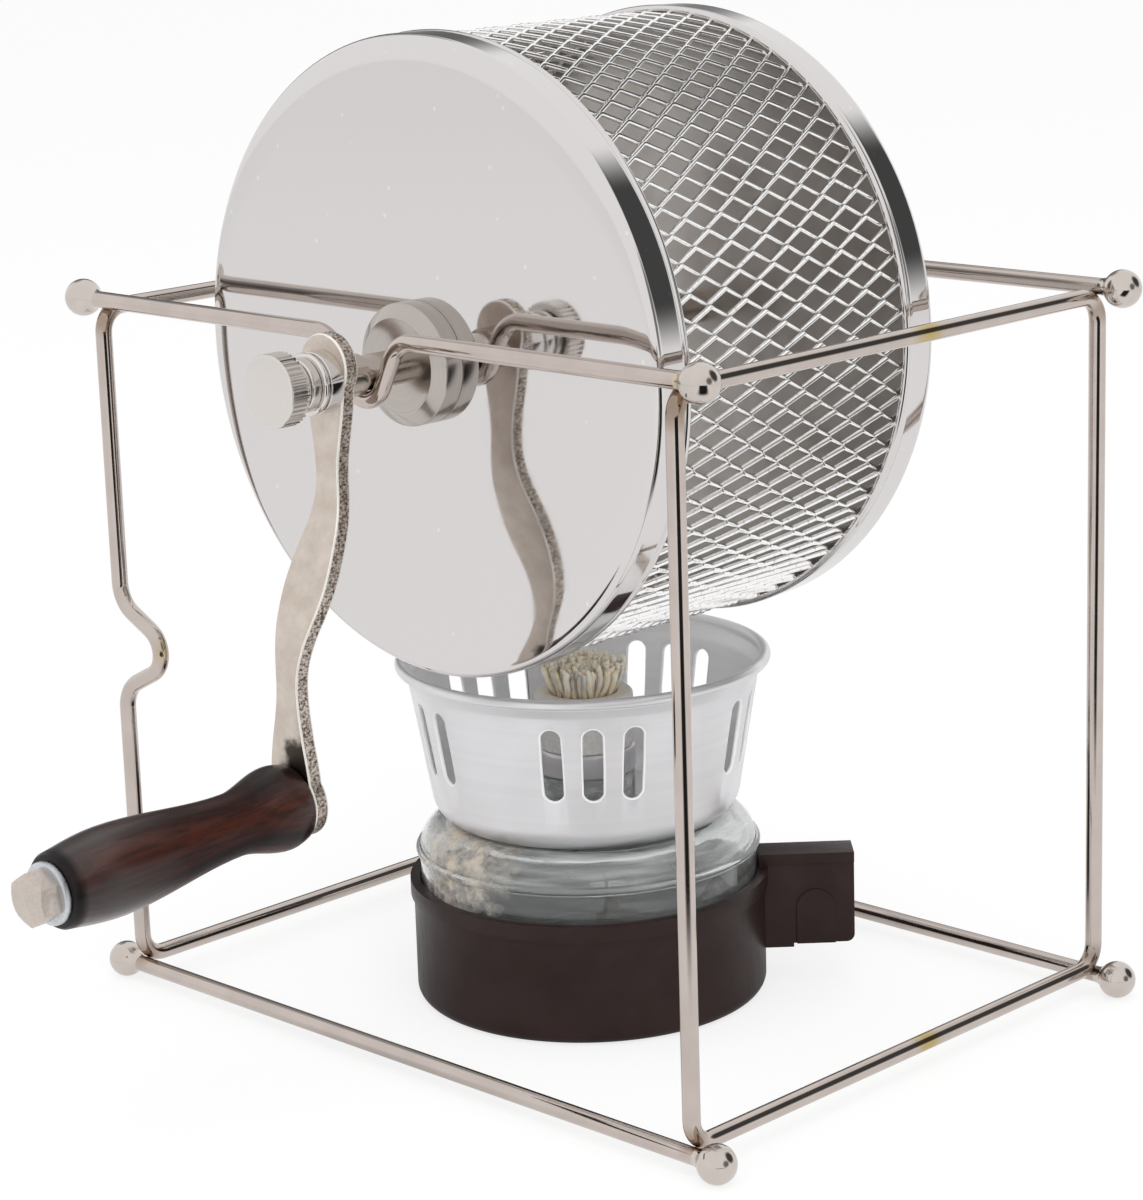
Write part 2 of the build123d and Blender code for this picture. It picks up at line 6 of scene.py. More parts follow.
import bmesh
import bpy
from mathutils import Matrix, Vector
from mathutils.geometry import interpolate_bezier


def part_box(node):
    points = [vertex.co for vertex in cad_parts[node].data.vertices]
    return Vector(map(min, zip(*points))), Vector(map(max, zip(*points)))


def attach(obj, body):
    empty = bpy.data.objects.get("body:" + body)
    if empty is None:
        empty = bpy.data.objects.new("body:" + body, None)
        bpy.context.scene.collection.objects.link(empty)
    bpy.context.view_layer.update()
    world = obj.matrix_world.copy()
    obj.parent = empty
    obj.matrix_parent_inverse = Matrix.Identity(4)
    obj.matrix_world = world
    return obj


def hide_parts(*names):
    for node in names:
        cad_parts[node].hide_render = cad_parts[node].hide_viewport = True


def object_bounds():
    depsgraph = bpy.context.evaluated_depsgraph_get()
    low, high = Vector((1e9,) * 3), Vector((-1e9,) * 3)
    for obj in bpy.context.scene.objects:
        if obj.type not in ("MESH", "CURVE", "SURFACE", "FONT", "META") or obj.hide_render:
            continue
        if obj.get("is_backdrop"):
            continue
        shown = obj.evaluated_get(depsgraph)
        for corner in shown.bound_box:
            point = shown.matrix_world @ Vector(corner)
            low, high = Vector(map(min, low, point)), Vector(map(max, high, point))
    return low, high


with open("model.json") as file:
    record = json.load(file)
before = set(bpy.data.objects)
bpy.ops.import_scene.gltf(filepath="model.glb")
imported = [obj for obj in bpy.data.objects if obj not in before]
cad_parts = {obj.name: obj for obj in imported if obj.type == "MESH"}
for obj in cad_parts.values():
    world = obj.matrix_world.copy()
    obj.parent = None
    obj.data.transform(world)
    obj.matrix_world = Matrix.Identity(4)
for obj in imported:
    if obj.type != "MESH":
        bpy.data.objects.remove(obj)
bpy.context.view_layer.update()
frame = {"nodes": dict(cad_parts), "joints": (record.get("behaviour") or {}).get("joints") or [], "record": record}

# Hand-crank coffee roaster. Blender works in metres; sizes here are written in millimetres.
MM = 0.001
nodes = frame["nodes"]
joints = {joint["name"]: joint for joint in frame["joints"]}
X, Y, Z = Vector((1, 0, 0)), Vector((0, 1, 0)), Vector((0, 0, 1))

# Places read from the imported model
shaft_middle = Vector(joints["drum_spin"]["pos_m"])
grip_seat = Vector(joints["grip_spin"]["pos_m"])
grip_out = -Vector(joints["grip_spin"]["axis"]).normalized()
holder_low, holder_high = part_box("wick_holder")
lamp_middle = Vector(((holder_low.x + holder_high.x) / 2, (holder_low.y + holder_high.y) / 2, 0))


def on_shaft(y):
    """The shaft's axis at a place along Y, in metres."""
    return Vector((shaft_middle.x, y, shaft_middle.z))


# Modelling helpers


def pick(*pieces):
    """Selects these pieces alone and makes the first one active."""
    bpy.ops.object.select_all(action="DESELECT")
    for piece in pieces:
        piece.select_set(True)
    bpy.context.view_layer.objects.active = pieces[0]


def select_mesh():
    """Enters edit mode, if it isn't on, and selects the whole mesh."""
    bpy.ops.object.mode_set(mode="EDIT")
    bpy.ops.mesh.select_all(action="SELECT")


def start_piece(name, add_primitive, **settings):
    """Adds a primitive with nothing else selected and leaves it in edit mode, selected all over."""
    bpy.ops.object.select_all(action="DESELECT")
    add_primitive(**settings)
    piece = bpy.context.object
    piece.name = name
    select_mesh()
    return piece


def extrude_by(step):
    """Extrudes what is selected by a step in metres."""
    bpy.ops.mesh.extrude_region_move(TRANSFORM_OT_translate={"value": step})


def close_seams():
    """Merges the doubles of the mesh in edit mode and turns its faces outwards."""
    select_mesh()
    bpy.ops.mesh.remove_doubles(threshold=0.001 * MM)
    bpy.ops.mesh.normals_make_consistent(inside=False)


def finish_piece(piece, smooth_angle=35):
    """Leaves edit mode, puts the place into the mesh and smooths all but the sharp edges."""
    if bpy.context.mode != "OBJECT":
        bpy.ops.object.mode_set(mode="OBJECT")
    bpy.ops.object.transform_apply(location=True, rotation=True, scale=True)
    bpy.ops.object.shade_smooth_by_angle(angle=radians(smooth_angle))
    return piece


def arc(middle, radius, first, last, steps):
    """Points of an arc in an outline; the angles are degrees from the axis outwards."""
    turns = [radians(first + (last - first) * step / steps) for step in range(steps + 1)]
    return [(middle[0] + radius * cos(turn), middle[1] + radius * sin(turn)) for turn in turns]


def rounded(corners, radii, steps):
    """An outline whose inner corners are rounded; radius 0 keeps a corner sharp."""
    points = [corners[0]]
    for before, corner, after, radius in zip(corners, corners[1:], corners[2:], radii):
        corner = Vector(corner)
        to_before = (Vector(before) - corner).normalized()
        to_after = (Vector(after) - corner).normalized()
        half = acos(to_before.dot(to_after)) / 2
        middle = corner + (to_before + to_after).normalized() * (radius / sin(half))
        first = corner + to_before * (radius / tan(half)) - middle
        last = corner + to_after * (radius / tan(half)) - middle
        turn = pi - 2 * half
        for step in range(steps + 1 if radius else 1):
            share = step / steps
            bend = (first * sin((1 - share) * turn) + last * sin(share * turn)) / sin(turn)
            points.append(tuple(middle + bend))
    return points + [corners[-1]]


def smooth(points, steps=10, end_pull=1.6):
    """A smooth outline through points that are spread along an axis, level where it turns back."""
    grades = [(end[1] - start[1]) / (end[0] - start[0]) for start, end in zip(points, points[1:])]
    slopes = [0.0 if rise * fall <= 0 else (rise + fall) / 2 for rise, fall in zip(grades, grades[1:])]
    slopes = [grades[0] * end_pull, *slopes, grades[-1] * end_pull]
    outline = [points[0]]
    for start, end, leave, reach in zip(points, points[1:], slopes, slopes[1:]):
        third = (end[0] - start[0]) / 3
        knots = [start, (start[0] + third, start[1] + leave * third), (end[0] - third, end[1] - reach * third), end]
        bend = interpolate_bezier(*[Vector((*knot, 0)) for knot in knots], steps + 1)
        outline += [tuple(place[:2]) for place in bend[1:]]
    return outline


def turned(name, outline, middle, along, steps):
    """Turns an outline of (along, out) points in millimetres round an axis through middle."""
    out = along.orthogonal().normalized()
    places = [middle + (along * a + out * r) * MM for a, r in outline]
    piece = start_piece(name, bpy.ops.mesh.primitive_plane_add, size=MM, location=places[0])
    bpy.ops.mesh.merge(type="CENTER")
    for here, there in zip(places, places[1:]):
        extrude_by(there - here)
    select_mesh()
    bpy.ops.mesh.spin(steps=steps, angle=2 * pi, center=middle, axis=along)
    close_seams()
    return finish_piece(piece)


def apply_modifier(piece, kind, **settings):
    """Adds a modifier with its settings and applies it."""
    modifier = piece.modifiers.new(kind.lower(), kind)
    for key, value in settings.items():
        setattr(modifier, key, value)
    bpy.context.view_layer.objects.active = piece
    bpy.ops.object.modifier_apply(modifier=modifier.name)


def cut(piece, cutter, operation):
    """Cuts a piece with another one, which is then deleted, and selects what is left."""
    apply_modifier(piece, "BOOLEAN", object=cutter, operation=operation, solver="EXACT")
    bpy.data.objects.remove(cutter)
    pick(piece)


def join(*pieces):
    """Joins finished pieces into the first one."""
    pick(*pieces)
    bpy.ops.object.join()
    return pieces[0]


def bevelled_copy(name, node, width):
    """A merged copy of a solid's mesh with its flat faces whole and its sharp edges rounded."""
    piece = bpy.data.objects.new(name, nodes[node].data.copy())
    bpy.context.scene.collection.objects.link(piece)
    pick(piece)
    select_mesh()
    bpy.ops.mesh.customdata_custom_splitnormals_clear()
    bpy.ops.mesh.remove_doubles(threshold=0.002 * MM)
    bpy.ops.mesh.dissolve_limited(angle_limit=radians(0.5))
    bpy.ops.object.mode_set(mode="OBJECT")
    apply_modifier(piece, "BEVEL", width=width * MM, segments=3, angle_limit=radians(40))
    return finish_piece(piece)


def give_finish(piece, *materials):
    """Gives a piece these materials alone."""
    piece.data.materials.clear()
    for material in materials:
        piece.data.materials.append(material)


def place_piece(piece, body, slot, *replaced):
    """Attaches a finished piece to its body, hides the solids that it stands for, and gives it the slot's
    finish if it has none of its own."""
    if not any(piece.data.materials):
        give_finish(piece, finishes[slot])
    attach(piece, body)
    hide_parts(*replaced)
    return piece


# Material helpers


def linear(hex_colour, share=1.0):
    """Linear colour of an sRGB hex value, or a share of it."""
    channels = [int(hex_colour[i : i + 2], 16) / 255 for i in (1, 3, 5)]
    return (*[share * (c / 12.92 if c <= 0.04045 else ((c + 0.055) / 1.055) ** 2.4) for c in channels], 1.0)


def grey(value):
    """A neutral colour, or a plain number carried as a colour."""
    return (value, value, value, 1.0)


def add_node(tree, kind, inputs=(), output=0, stops=(), **settings):
    """Adds a node with its settings, sets or links its inputs by name or in order, and gives one of its
    outputs. Hex colours become linear. The stops are a colour ramp's; a plain number is a grey there."""
    made = tree.nodes.new("ShaderNode" + kind)
    for key, value in settings.items():
        setattr(made, key, value)
    for number, (position, value) in enumerate(stops):
        elements = made.color_ramp.elements
        element = elements[number] if number < len(elements) else elements.new(1.0)
        element.position = position
        element.color = linear(value) if isinstance(value, str) else value if isinstance(value, tuple) else grey(value)
    for key, value in inputs.items() if isinstance(inputs, dict) else enumerate(inputs):
        if isinstance(value, bpy.types.NodeSocket):
            tree.links.new(value, made.inputs[key])
        else:
            made.inputs[key].default_value = linear(value) if isinstance(value, str) else value
    return made.outputs[output] if made.outputs else None


# Inputs of a Mix node of colours (its factor, the colour under and the one over it), its result and
# type, and the setting of a range that eases in and out
FACTOR, UNDER, OVER = 0, 6, 7
COLOURS = {"output": 2, "data_type": "RGBA"}
EASED = {"interpolation_type": "SMOOTHSTEP"}


def node_adder(owner):
    """Empties the node tree of a material or a world and gives the function that adds nodes to it."""
    owner.use_nodes = True
    owner.node_tree.nodes.clear()
    return partial(add_node, owner.node_tree)


def finish_material(material, **sockets):
    """Adds the Principled shader with its sockets, named as in Blender with _ for a space."""
    inputs = {key.replace("_", " "): value for key, value in sockets.items()}
    shader = add_node(material.node_tree, "BsdfPrincipled", inputs)
    add_node(material.node_tree, "OutputMaterial", {"Surface": shader})
    return material


def new_material(name):
    """The functions that add a new material's nodes and finish it, and the place of a point on the object."""
    material = bpy.data.materials.new(name)
    add = node_adder(material)
    return add, partial(finish_material, material), add("TexCoord", output="Object")


def grains(place, size, name="Vector"):
    """Inputs of a texture whose grains are about this size in millimetres."""
    return {name: place, "Scale": 1 / (size * MM)}


def ragged_spot(add, place, spot, cloud, fringe, inner, outer, depth):
    """A patch round a spot that fades from its inner to its outer radius, with a clouded fringe."""
    away = add("VectorMath", (place, spot), "Value", operation="DISTANCE")
    wobble = add("Math", (cloud, fringe * MM), operation="MULTIPLY")
    edge = add("Math", (away, wobble), operation="ADD")
    return add("MapRange", (edge, inner * MM, outer * MM, depth, 0.0), **EASED)


def round_axis(add, place, middle, along):
    """The place of a point from the middle of an axis, and its distance from that axis."""
    local = add("VectorMath", (place, middle), operation="SUBTRACT")
    across = Vector((1, 1, 1)) - Vector([abs(v) for v in along])
    flat = add("VectorMath", (local, across), operation="MULTIPLY")
    return local, add("VectorMath", (flat,), "Value", operation="LENGTH")


# Finishes


def bright_nickel(name, colour, rough, welds=(), metal=1.0):
    """Bright nickel plating on drawn steel: a warm, glossy metal, faintly cloudy, with fine pits.
    Round its welds the plating is stained brown, and brass shows where it was brazed."""
    add, finish, place = new_material(name)
    cloud = add("TexNoise", {**grains(place, 9.0), "Detail": 3.0})
    pits = add("TexNoise", {**grains(place, 0.7), "Detail": 2.0})
    shade = add("ValToRGB", (cloud,), stops=((0.35, linear(colour, 0.92)), (0.65, colour)))
    for spot, reach, stain in welds:
        patch = ragged_spot(add, place, Vector(spot) * MM, cloud, 0.6 * reach, 0.5 * reach, 1.3 * reach, 0.8)
        shade = add("Mix", {FACTOR: patch, UNDER: shade, OVER: stain}, **COLOURS)
    gloss = add("ValToRGB", (pits,), stops=((0.35, rough * 0.75), (0.7, rough * 1.5)))
    return finish(Base_Color=shade, Metallic=metal, Roughness=gloss)


def turned_metal(name, colour, rough, middle, along, width, depth, contrast, metal=1.0):
    """Metal turned on a lathe or spun: rings run round the axis and break up the gloss. They are drawn
    wider than the tool left them, so that they show."""
    add, finish, place = new_material(name)
    local, radius = round_axis(add, place, middle, along)
    height = add("VectorMath", (local, along), "Value", operation="DOT_PRODUCT")
    track = add("Math", (radius, height), operation="ADD")
    rings = add("TexNoise", {**grains(track, width, "W"), "Detail": 3.0}, noise_dimensions="1D")
    cloud = add("TexNoise", {**grains(place, 12.0), "Detail": 1.0})
    shade = add("ValToRGB", (rings,), stops=((0.3, linear(colour, contrast)), (0.65, colour)))
    gloss = add("ValToRGB", (cloud,), stops=((0.3, rough * 0.8), (0.7, rough * 1.3)))
    relief = add("Bump", {"Height": rings, "Distance": depth * MM, "Strength": 0.6})
    return finish(Base_Color=shade, Metallic=metal, Roughness=gloss, Normal=relief)


def mirror_sheet(name):
    """Stainless sheet, pressed and polished to a mirror, with a few pale specks and faint dents."""
    add, finish, place = new_material(name)
    specks = add("TexVoronoi", {**grains(place, 7.0), "Randomness": 1.0}, "Distance")
    shade = add("ValToRGB", (specks,), stops=((0.05, "#e3e1e0"), (0.09, "#d9d6d5")))
    dents = add("TexNoise", {**grains(place, 22.0), "Detail": 1.0})
    haze = add("TexNoise", {**grains(place, 3.0), "Detail": 4.0})
    gloss = add("ValToRGB", (haze,), stops=((0.3, 0.03), (0.75, 0.07)))
    relief = add("Bump", {"Height": dents, "Distance": 0.02 * MM, "Strength": 0.5})
    return finish(Base_Color=shade, Metallic=1.0, Roughness=gloss, Normal=relief)


def satin_inside(name):
    """Inside of the pressed caps: mill-finished stainless, grey and satin, browned by the roast."""
    add, finish, place = new_material(name)
    cloud = add("TexNoise", {**grains(place, 16.0), "Detail": 4.0})
    specks = add("TexNoise", {**grains(place, 0.8), "Detail": 2.0})
    shade = add("ValToRGB", (cloud,), stops=((0.35, "#b3ada8"), (0.65, "#cbc6c2")))
    gloss = add("ValToRGB", (specks,), stops=((0.35, 0.28), (0.7, 0.4)))
    return finish(Base_Color=shade, Metallic=0.9, Roughness=gloss)


def expanded_sheet(name):
    """Stainless sheet, slit and stretched: bright strands with small dull spots."""
    add, finish, place = new_material(name)
    tear = add("TexNoise", {**grains(place, 0.9), "Detail": 3.0})
    shade = add("ValToRGB", (tear,), stops=((0.24, "#d0cdc9"), (0.42, "#fbfaf9")))
    gloss = add("ValToRGB", (tear,), stops=((0.3, 0.18), (0.7, 0.08)))
    return finish(Base_Color=shade, Metallic=1.0, Roughness=gloss)


def plated_face(name, grip_reflection_spot):
    """Face of the stamped arm: warm nickel over a rolled surface, with a dark painted reflection of the grip on the
    face above it.
    """
    add, finish, place = new_material(name)
    cloud = add("TexNoise", {**grains(place, 5.0), "Detail": 5.0, "Roughness": 0.6})
    pits = add("TexNoise", {**grains(place, 0.5), "Detail": 2.0})
    shade = add("ValToRGB", (cloud,), stops=((0.35, "#cabeb3"), (0.65, "#d9cec4")))
    # Painted reflection: the dark grip is painted as a brown-black patch on the face above it
    grip_reflection = ragged_spot(add, place, grip_reflection_spot, cloud, 9.0, 8.5, 12.0, 0.92)
    shade = add("Mix", {FACTOR: grip_reflection, UNDER: shade, OVER: "#2b211b"}, **COLOURS)
    gloss = add("ValToRGB", (pits,), stops=((0.3, 0.34), (0.75, 0.5)))
    relief = add("Bump", {"Height": pits, "Distance": 0.02 * MM, "Strength": 0.5})
    return finish(Base_Color=shade, Metallic=1.0, Roughness=gloss, Normal=relief)


def sheared_edge(name):
    """Edge of the stamped arm: torn steel under thin plating, with dark and rusty pits."""
    add, finish, place = new_material(name)
    drawn = add("VectorMath", (place, (1.0, 0.7, 1.0)), operation="MULTIPLY")
    tear = add("TexNoise", {**grains(drawn, 0.55), "Detail": 5.0, "Roughness": 0.65})
    shade = add("ValToRGB", (tear,), stops=((0.36, "#3d322b"), (0.46, "#8f8175"), (0.58, "#d2c9c0")))
    gloss = add("ValToRGB", (tear,), stops=((0.36, 0.6), (0.6, 0.3)))
    relief = add("Bump", {"Height": tear, "Distance": 0.08 * MM, "Strength": 0.6})
    return finish(Base_Color=shade, Metallic=0.85, Roughness=gloss, Normal=relief)


def stained_beech(name, middle, along):
    """Turned beech under dark red-brown stain: fine grain runs along the grip, the varnish is left
    on its thick ends, where the hand doesn't rub, and the end grain has drunk the stain black."""
    add, finish, place = new_material(name)
    turn = along.to_track_quat("X", "Z").to_euler()
    local = add("Mapping", {"Vector": place, "Location": middle, "Rotation": turn}, vector_type="TEXTURE")
    stretched = add("VectorMath", (local, (0.07, 1.0, 1.0)), operation="MULTIPLY")
    fibres = add("TexNoise", {**grains(stretched, 1.1), "Detail": 5.0, "Roughness": 0.65})
    patches = add("TexNoise", {**grains(stretched, 6.0), "Detail": 2.0})
    wood = add("ValToRGB", (patches,), stops=((0.34, "#190908"), (0.52, "#31150f"), (0.7, "#462116")))
    pores = add("ValToRGB", (fibres,), stops=((0.38, 0.35), (0.55, 1.0)))
    shade = add("Mix", {FACTOR: 0.75, UNDER: wood, OVER: pores}, **COLOURS, blend_type="MULTIPLY")
    length = add("SeparateXYZ", (local,), "X")
    end_grain = add("MapRange", (length, 63.5 * MM, 65.5 * MM, 0.0, 0.9))
    shade = add("Mix", {FACTOR: end_grain, UNDER: shade, OVER: "#0b0707"}, **COLOURS)
    outer = add("MapRange", (length, 36 * MM, 56 * MM, 0.0, 1.0))
    inner = add("MapRange", (length, 14 * MM, 5 * MM, 0.0, 0.5))
    varnish = add("Math", (outer, inner), operation="MAXIMUM")
    varnish = add("Math", (varnish, end_grain), operation="SUBTRACT", use_clamp=True)
    gloss = add("ValToRGB", (fibres,), stops=((0.35, 0.45), (0.65, 0.3)))
    relief = add("Bump", {"Height": fibres, "Distance": 0.05 * MM, "Strength": 0.4})
    coat = {"Coat_Weight": varnish, "Coat_Roughness": 0.25}
    return finish(Base_Color=shade, Roughness=gloss, Normal=relief, Specular_IOR_Level=0.2, **coat)


def moulded_phenolic(name):
    """Dark brown moulded phenolic: smooth, softly glossy, with faint scuffs from handling."""
    add, finish, place = new_material(name)
    cloud = add("TexNoise", {**grains(place, 14.0), "Detail": 4.0})
    shade = add("ValToRGB", (cloud,), stops=((0.35, "#2a1d1b"), (0.65, "#332523")))
    stretched = add("VectorMath", (place, (1.0, 1.0, 0.25)), operation="MULTIPLY")
    scuffs = add("TexNoise", {**grains(stretched, 2.2), "Detail": 6.0, "Roughness": 0.7})
    gloss = add("ValToRGB", (scuffs,), stops=((0.4, 0.3), (0.75, 0.42)))
    relief = add("Bump", {"Height": scuffs, "Distance": 0.008 * MM, "Strength": 0.3})
    return finish(Base_Color=shade, Roughness=gloss, Normal=relief, Specular_IOR_Level=0.2)


def pressed_glass(name, residue_spot, bead_height):
    """Clear pressed glass, a little wavy: a pale film clouds the shoulder above the bead, partly a real film of dried
    spirit and partly painted sheen that stands in for the glass's bright reflections; on one side the spirit has burnt
    to a tan crust."""
    add, finish, place = new_material(name)
    cloud = add("TexNoise", {**grains(place, 5.0), "Detail": 5.0, "Roughness": 0.6})
    crust = ragged_spot(add, place, residue_spot, cloud, 26.0, 20.0, 34.0, 1.0)
    flakes = add("TexNoise", {**grains(place, 4.5), "Detail": 5.0, "Roughness": 0.6})
    broken = add("MapRange", (flakes, 0.4, 0.58, 0.15, 0.8))
    crust = add("Math", (crust, broken), operation="MULTIPLY")
    height = add("SeparateXYZ", (place,), "Z")
    above = add("MapRange", (height, bead_height, bead_height + 2.0 * MM, 0.25, 1.0))
    local, radius = round_axis(add, place, lamp_middle, Z)
    sides = [add("SeparateXYZ", (local,), side) for side in "YX"]
    turn = add("Math", sides, operation="ARCTAN2")
    turn = add("Math", (turn, 5.0 * MM), operation="MULTIPLY")
    round_lamp = add("CombineXYZ", (radius, turn, height))
    streaks = add("TexNoise", {**grains(round_lamp, 3.2), "Detail": 3.0, "Roughness": 0.5})
    # The pale film is partly dried spirit and partly painted sheen, fuller on the shoulder above the bead
    film_and_sheen = add("MapRange", (streaks, 0.38, 0.66, 0.1, 0.46))
    film_and_sheen = add("Math", (film_and_sheen, above), operation="MULTIPLY")
    cover = add("Math", (film_and_sheen, crust), operation="MAXIMUM")
    burnt = add("ValToRGB", (flakes,), stops=((0.42, "#a88a68"), (0.64, "#d9cab4")))
    shade = add("Mix", {FACTOR: crust, UNDER: "#eef1f0", OVER: burnt}, **COLOURS)
    clear = add("Math", (1.0, cover), operation="SUBTRACT")
    waves = add("TexNoise", {**grains(place, 9.0), "Detail": 2.0})
    relief = add("Bump", {"Height": waves, "Distance": 0.2 * MM, "Strength": 0.5})
    return finish(Base_Color=shade, Roughness=0.02, IOR=1.5, Transmission_Weight=clear, Normal=relief)


def bisque_ceramic(name, rim_height):
    """Unglazed white ceramic: matt and chalky, greyed by the flame at its rim."""
    add, finish, place = new_material(name)
    chalk = add("TexNoise", {**grains(place, 1.2), "Detail": 4.0})
    shade = add("ValToRGB", (chalk,), stops=((0.35, "#e6e4df"), (0.65, "#f5f4f1")))
    height = add("SeparateXYZ", (place,), "Z")
    smoke = add("MapRange", (height, rim_height - 2.5 * MM, rim_height, 0.0, 0.25))
    shade = add("Mix", {FACTOR: smoke, UNDER: shade, OVER: "#a39a8c"}, **COLOURS)
    relief = add("Bump", {"Height": chalk, "Distance": 0.05 * MM, "Strength": 0.4})
    return finish(Base_Color=shade, Roughness=0.7, Normal=relief)


def cotton_strands(name, foot_height):
    """Loose cotton yarn: matt cream fibres, scorched brown where they leave the holder."""
    add, finish, place = new_material(name)
    stretched = add("VectorMath", (place, (1.0, 1.0, 0.3)), operation="MULTIPLY")
    fibres = add("TexNoise", {**grains(stretched, 0.8), "Detail": 4.0, "Roughness": 0.6})
    shade = add("ValToRGB", (fibres,), stops=((0.3, "#f2d2a0"), (0.55, "#fff1da")))
    height = add("SeparateXYZ", (place,), "Z")
    scorch = add("MapRange", (height, foot_height, foot_height + 3.5 * MM, 0.45, 0.0))
    shade = add("Mix", {FACTOR: scorch, UNDER: shade, OVER: "#a67c48"}, **COLOURS)
    relief = add("Bump", {"Height": fibres, "Distance": 0.08 * MM, "Strength": 0.5})
    glow = {"Subsurface_Weight": 0.8, "Subsurface_Scale": 3.0 * MM, "Subsurface_Radius": (1.0, 0.85, 0.65)}
    return finish(Base_Color=shade, Roughness=0.85, Normal=relief, Sheen_Weight=0.3, **glow)


# Brazed and stained places of the stand: the spot, its reach and its colour
wire_welds = (
    ((-71.5, -72.5, 87.5), 9.0, "#b59a52"),
    ((93.0, 8.0, 171.0), 7.0, "#b9a25c"),
    ((93.0, 6.0, 6.5), 6.0, "#b9a25c"),
    ((93.0, -72.5, 168.0), 7.0, "#8d7763"),
    ((-93.0, -72.5, 168.0), 5.0, "#9a8470"),
    ((93.0, 72.5, 168.0), 5.0, "#8d7763"),
    ((93.0, -72.5, 8.0), 5.0, "#9a8470"),
    ((93.0, 72.5, 8.0), 6.0, "#7a654f"),
    ((-93.0, -72.5, 8.0), 5.0, "#9a8470"),
)
ball_welds = (((96.5, -72.5, 172.5), 5.0, "#c2ab66"),)
residue_spot = lamp_middle + Vector((-6.0, -36.0, 40.0)) * MM
bead_height = 37.4 * MM
# Spot of the grip's painted reflection on the arm's face, just above the grip
grip_reflection_spot = grip_seat + Vector((5.0, 0.0, 9.5)) * MM

finishes = {
    "nickel_wire": bright_nickel("nickel_wire", "#c8bdb6", 0.08, wire_welds),
    "nickel_balls": bright_nickel("nickel_balls", "#d0c7c0", 0.09, ball_welds),
    # Ground steel: a duller shine than the plating's
    "shaft_steel": bright_nickel("ground_shaft", "#c4bbb3", 0.17),
    "polished_cap": mirror_sheet("polished_cap"),
    "expanded_metal": expanded_sheet("expanded_metal"),
    "turned_steel": turned_metal("turned_steel", "#bdb6b0", 0.2, shaft_middle, Y, 0.35, 0.004, 0.88),
    "stamped_nickel": plated_face("stamped_nickel", grip_reflection_spot),
    # Polished chrome plate: close to a mirror
    "chrome_hub": bright_nickel("chrome_hub", "#dfdbd8", 0.05),
    "stained_wood": stained_beech("stained_wood", grip_seat, grip_out),
    # Zinc plate: warm and nearly matt
    "zinc_bolt": bright_nickel("zinc_bolt", "#d2c8c0", 0.4),
    "brown_plastic": moulded_phenolic("brown_plastic"),
    "clear_glass": pressed_glass("clear_glass", residue_spot, bead_height),
    "spun_aluminium": turned_metal("spun_aluminium", "#e4e3e5", 0.38, lamp_middle, Z, 3.0, 0.003, 0.97, 0.9),
    "white_ceramic": bisque_ceramic("white_ceramic", holder_high.z),
    "cotton_wick": cotton_strands("cotton_wick", holder_high.z),
}
inside_sheet = satin_inside("satin_cap_inside")
# Finely turned steel: the screw's face is pale and even
smooth_knob = turned_metal("turned_knob", "#dcd7d2", 0.16, shaft_middle, Y, 0.5, 0.001, 0.95)
torn_steel = sheared_edge("sheared_edge")
# Painted highlight along the arm's bevelled corners: near-white plating, half metal
burnished_corner = bright_nickel("burnished_corner", "#f6f1ea", 0.4, metal=0.5)
# Passivated zinc: bluish and nearly matt
pale_zinc = bright_nickel("passivated_washer", "#d3d6da", 0.4)
# Painted highlight on the bevels round the bowl's slots: white lines, matt and not metal
painted_slot_edge_highlight = bright_nickel("painted_slot_edge_highlight", "#ffffff", 0.42, metal=0.0)
# The bowl's inside, left satin by the spinning, with no clear reflections; its paler colour and weaker metal are
# painted light for the light that falls into the bowl
bowl_inside = turned_metal("satin_bowl_inside_painted_pale", "#f3f3f5", 0.45, lamp_middle, Z, 3.0, 0.003, 0.97, 0.35)
for subpart in frame["record"]["subparts"]:
    give_finish(nodes[subpart["node"]], finishes[subpart["material_slot"]])


# Bent wires of the stand: two closed side hoops, the left one with saddles, and four rails
wire_radius = 2.0
wire_sides = 28
bend_steps = 10
hoop_bend = 6.0
saddle_depth = 14.25
saddle_slope = radians(63)
saddle_shoulder = 8.0
saddle_floor = 6.1
saddle_point = saddle_depth + saddle_floor * (1 / cos(saddle_slope) - 1)
saddle_half = saddle_point / tan(saddle_slope)
saddle_bends = [saddle_shoulder, saddle_floor, saddle_shoulder]
side_saddle_z = 87.5


def bent_wire(name, corners, bends):
    """Wire along corners in millimetres: its runs are extruded and its bends spun round their middles."""
    corners = [Vector(corner) * MM for corner in corners]
    here = corners[0]
    wire = start_piece(
        name,
        bpy.ops.mesh.primitive_circle_add,
        vertices=wire_sides,
        radius=wire_radius * MM,
        location=here,
        rotation=(corners[1] - here).to_track_quat("Z", "Y").to_euler(),
    )
    for before, corner, after, bend in zip(corners, corners[1:], corners[2:], bends):
        along, onward = (corner - before).normalized(), (after - corner).normalized()
        turn = along.angle(onward)
        setback = bend * MM * tan(turn / 2)
        start = corner - along * setback
        middle = start + (onward - along * along.dot(onward)).normalized() * bend * MM
        extrude_by(start - here)
        bpy.ops.mesh.spin(steps=bend_steps, angle=-turn, center=middle, axis=along.cross(onward).normalized())
        here = corner + onward * setback
    extrude_by(corners[-1] - here)
    close_seams()
    bpy.ops.mesh.fill_holes(sides=0)
    bpy.ops.mesh.normals_make_consistent(inside=False)
    return finish_piece(wire, 40)


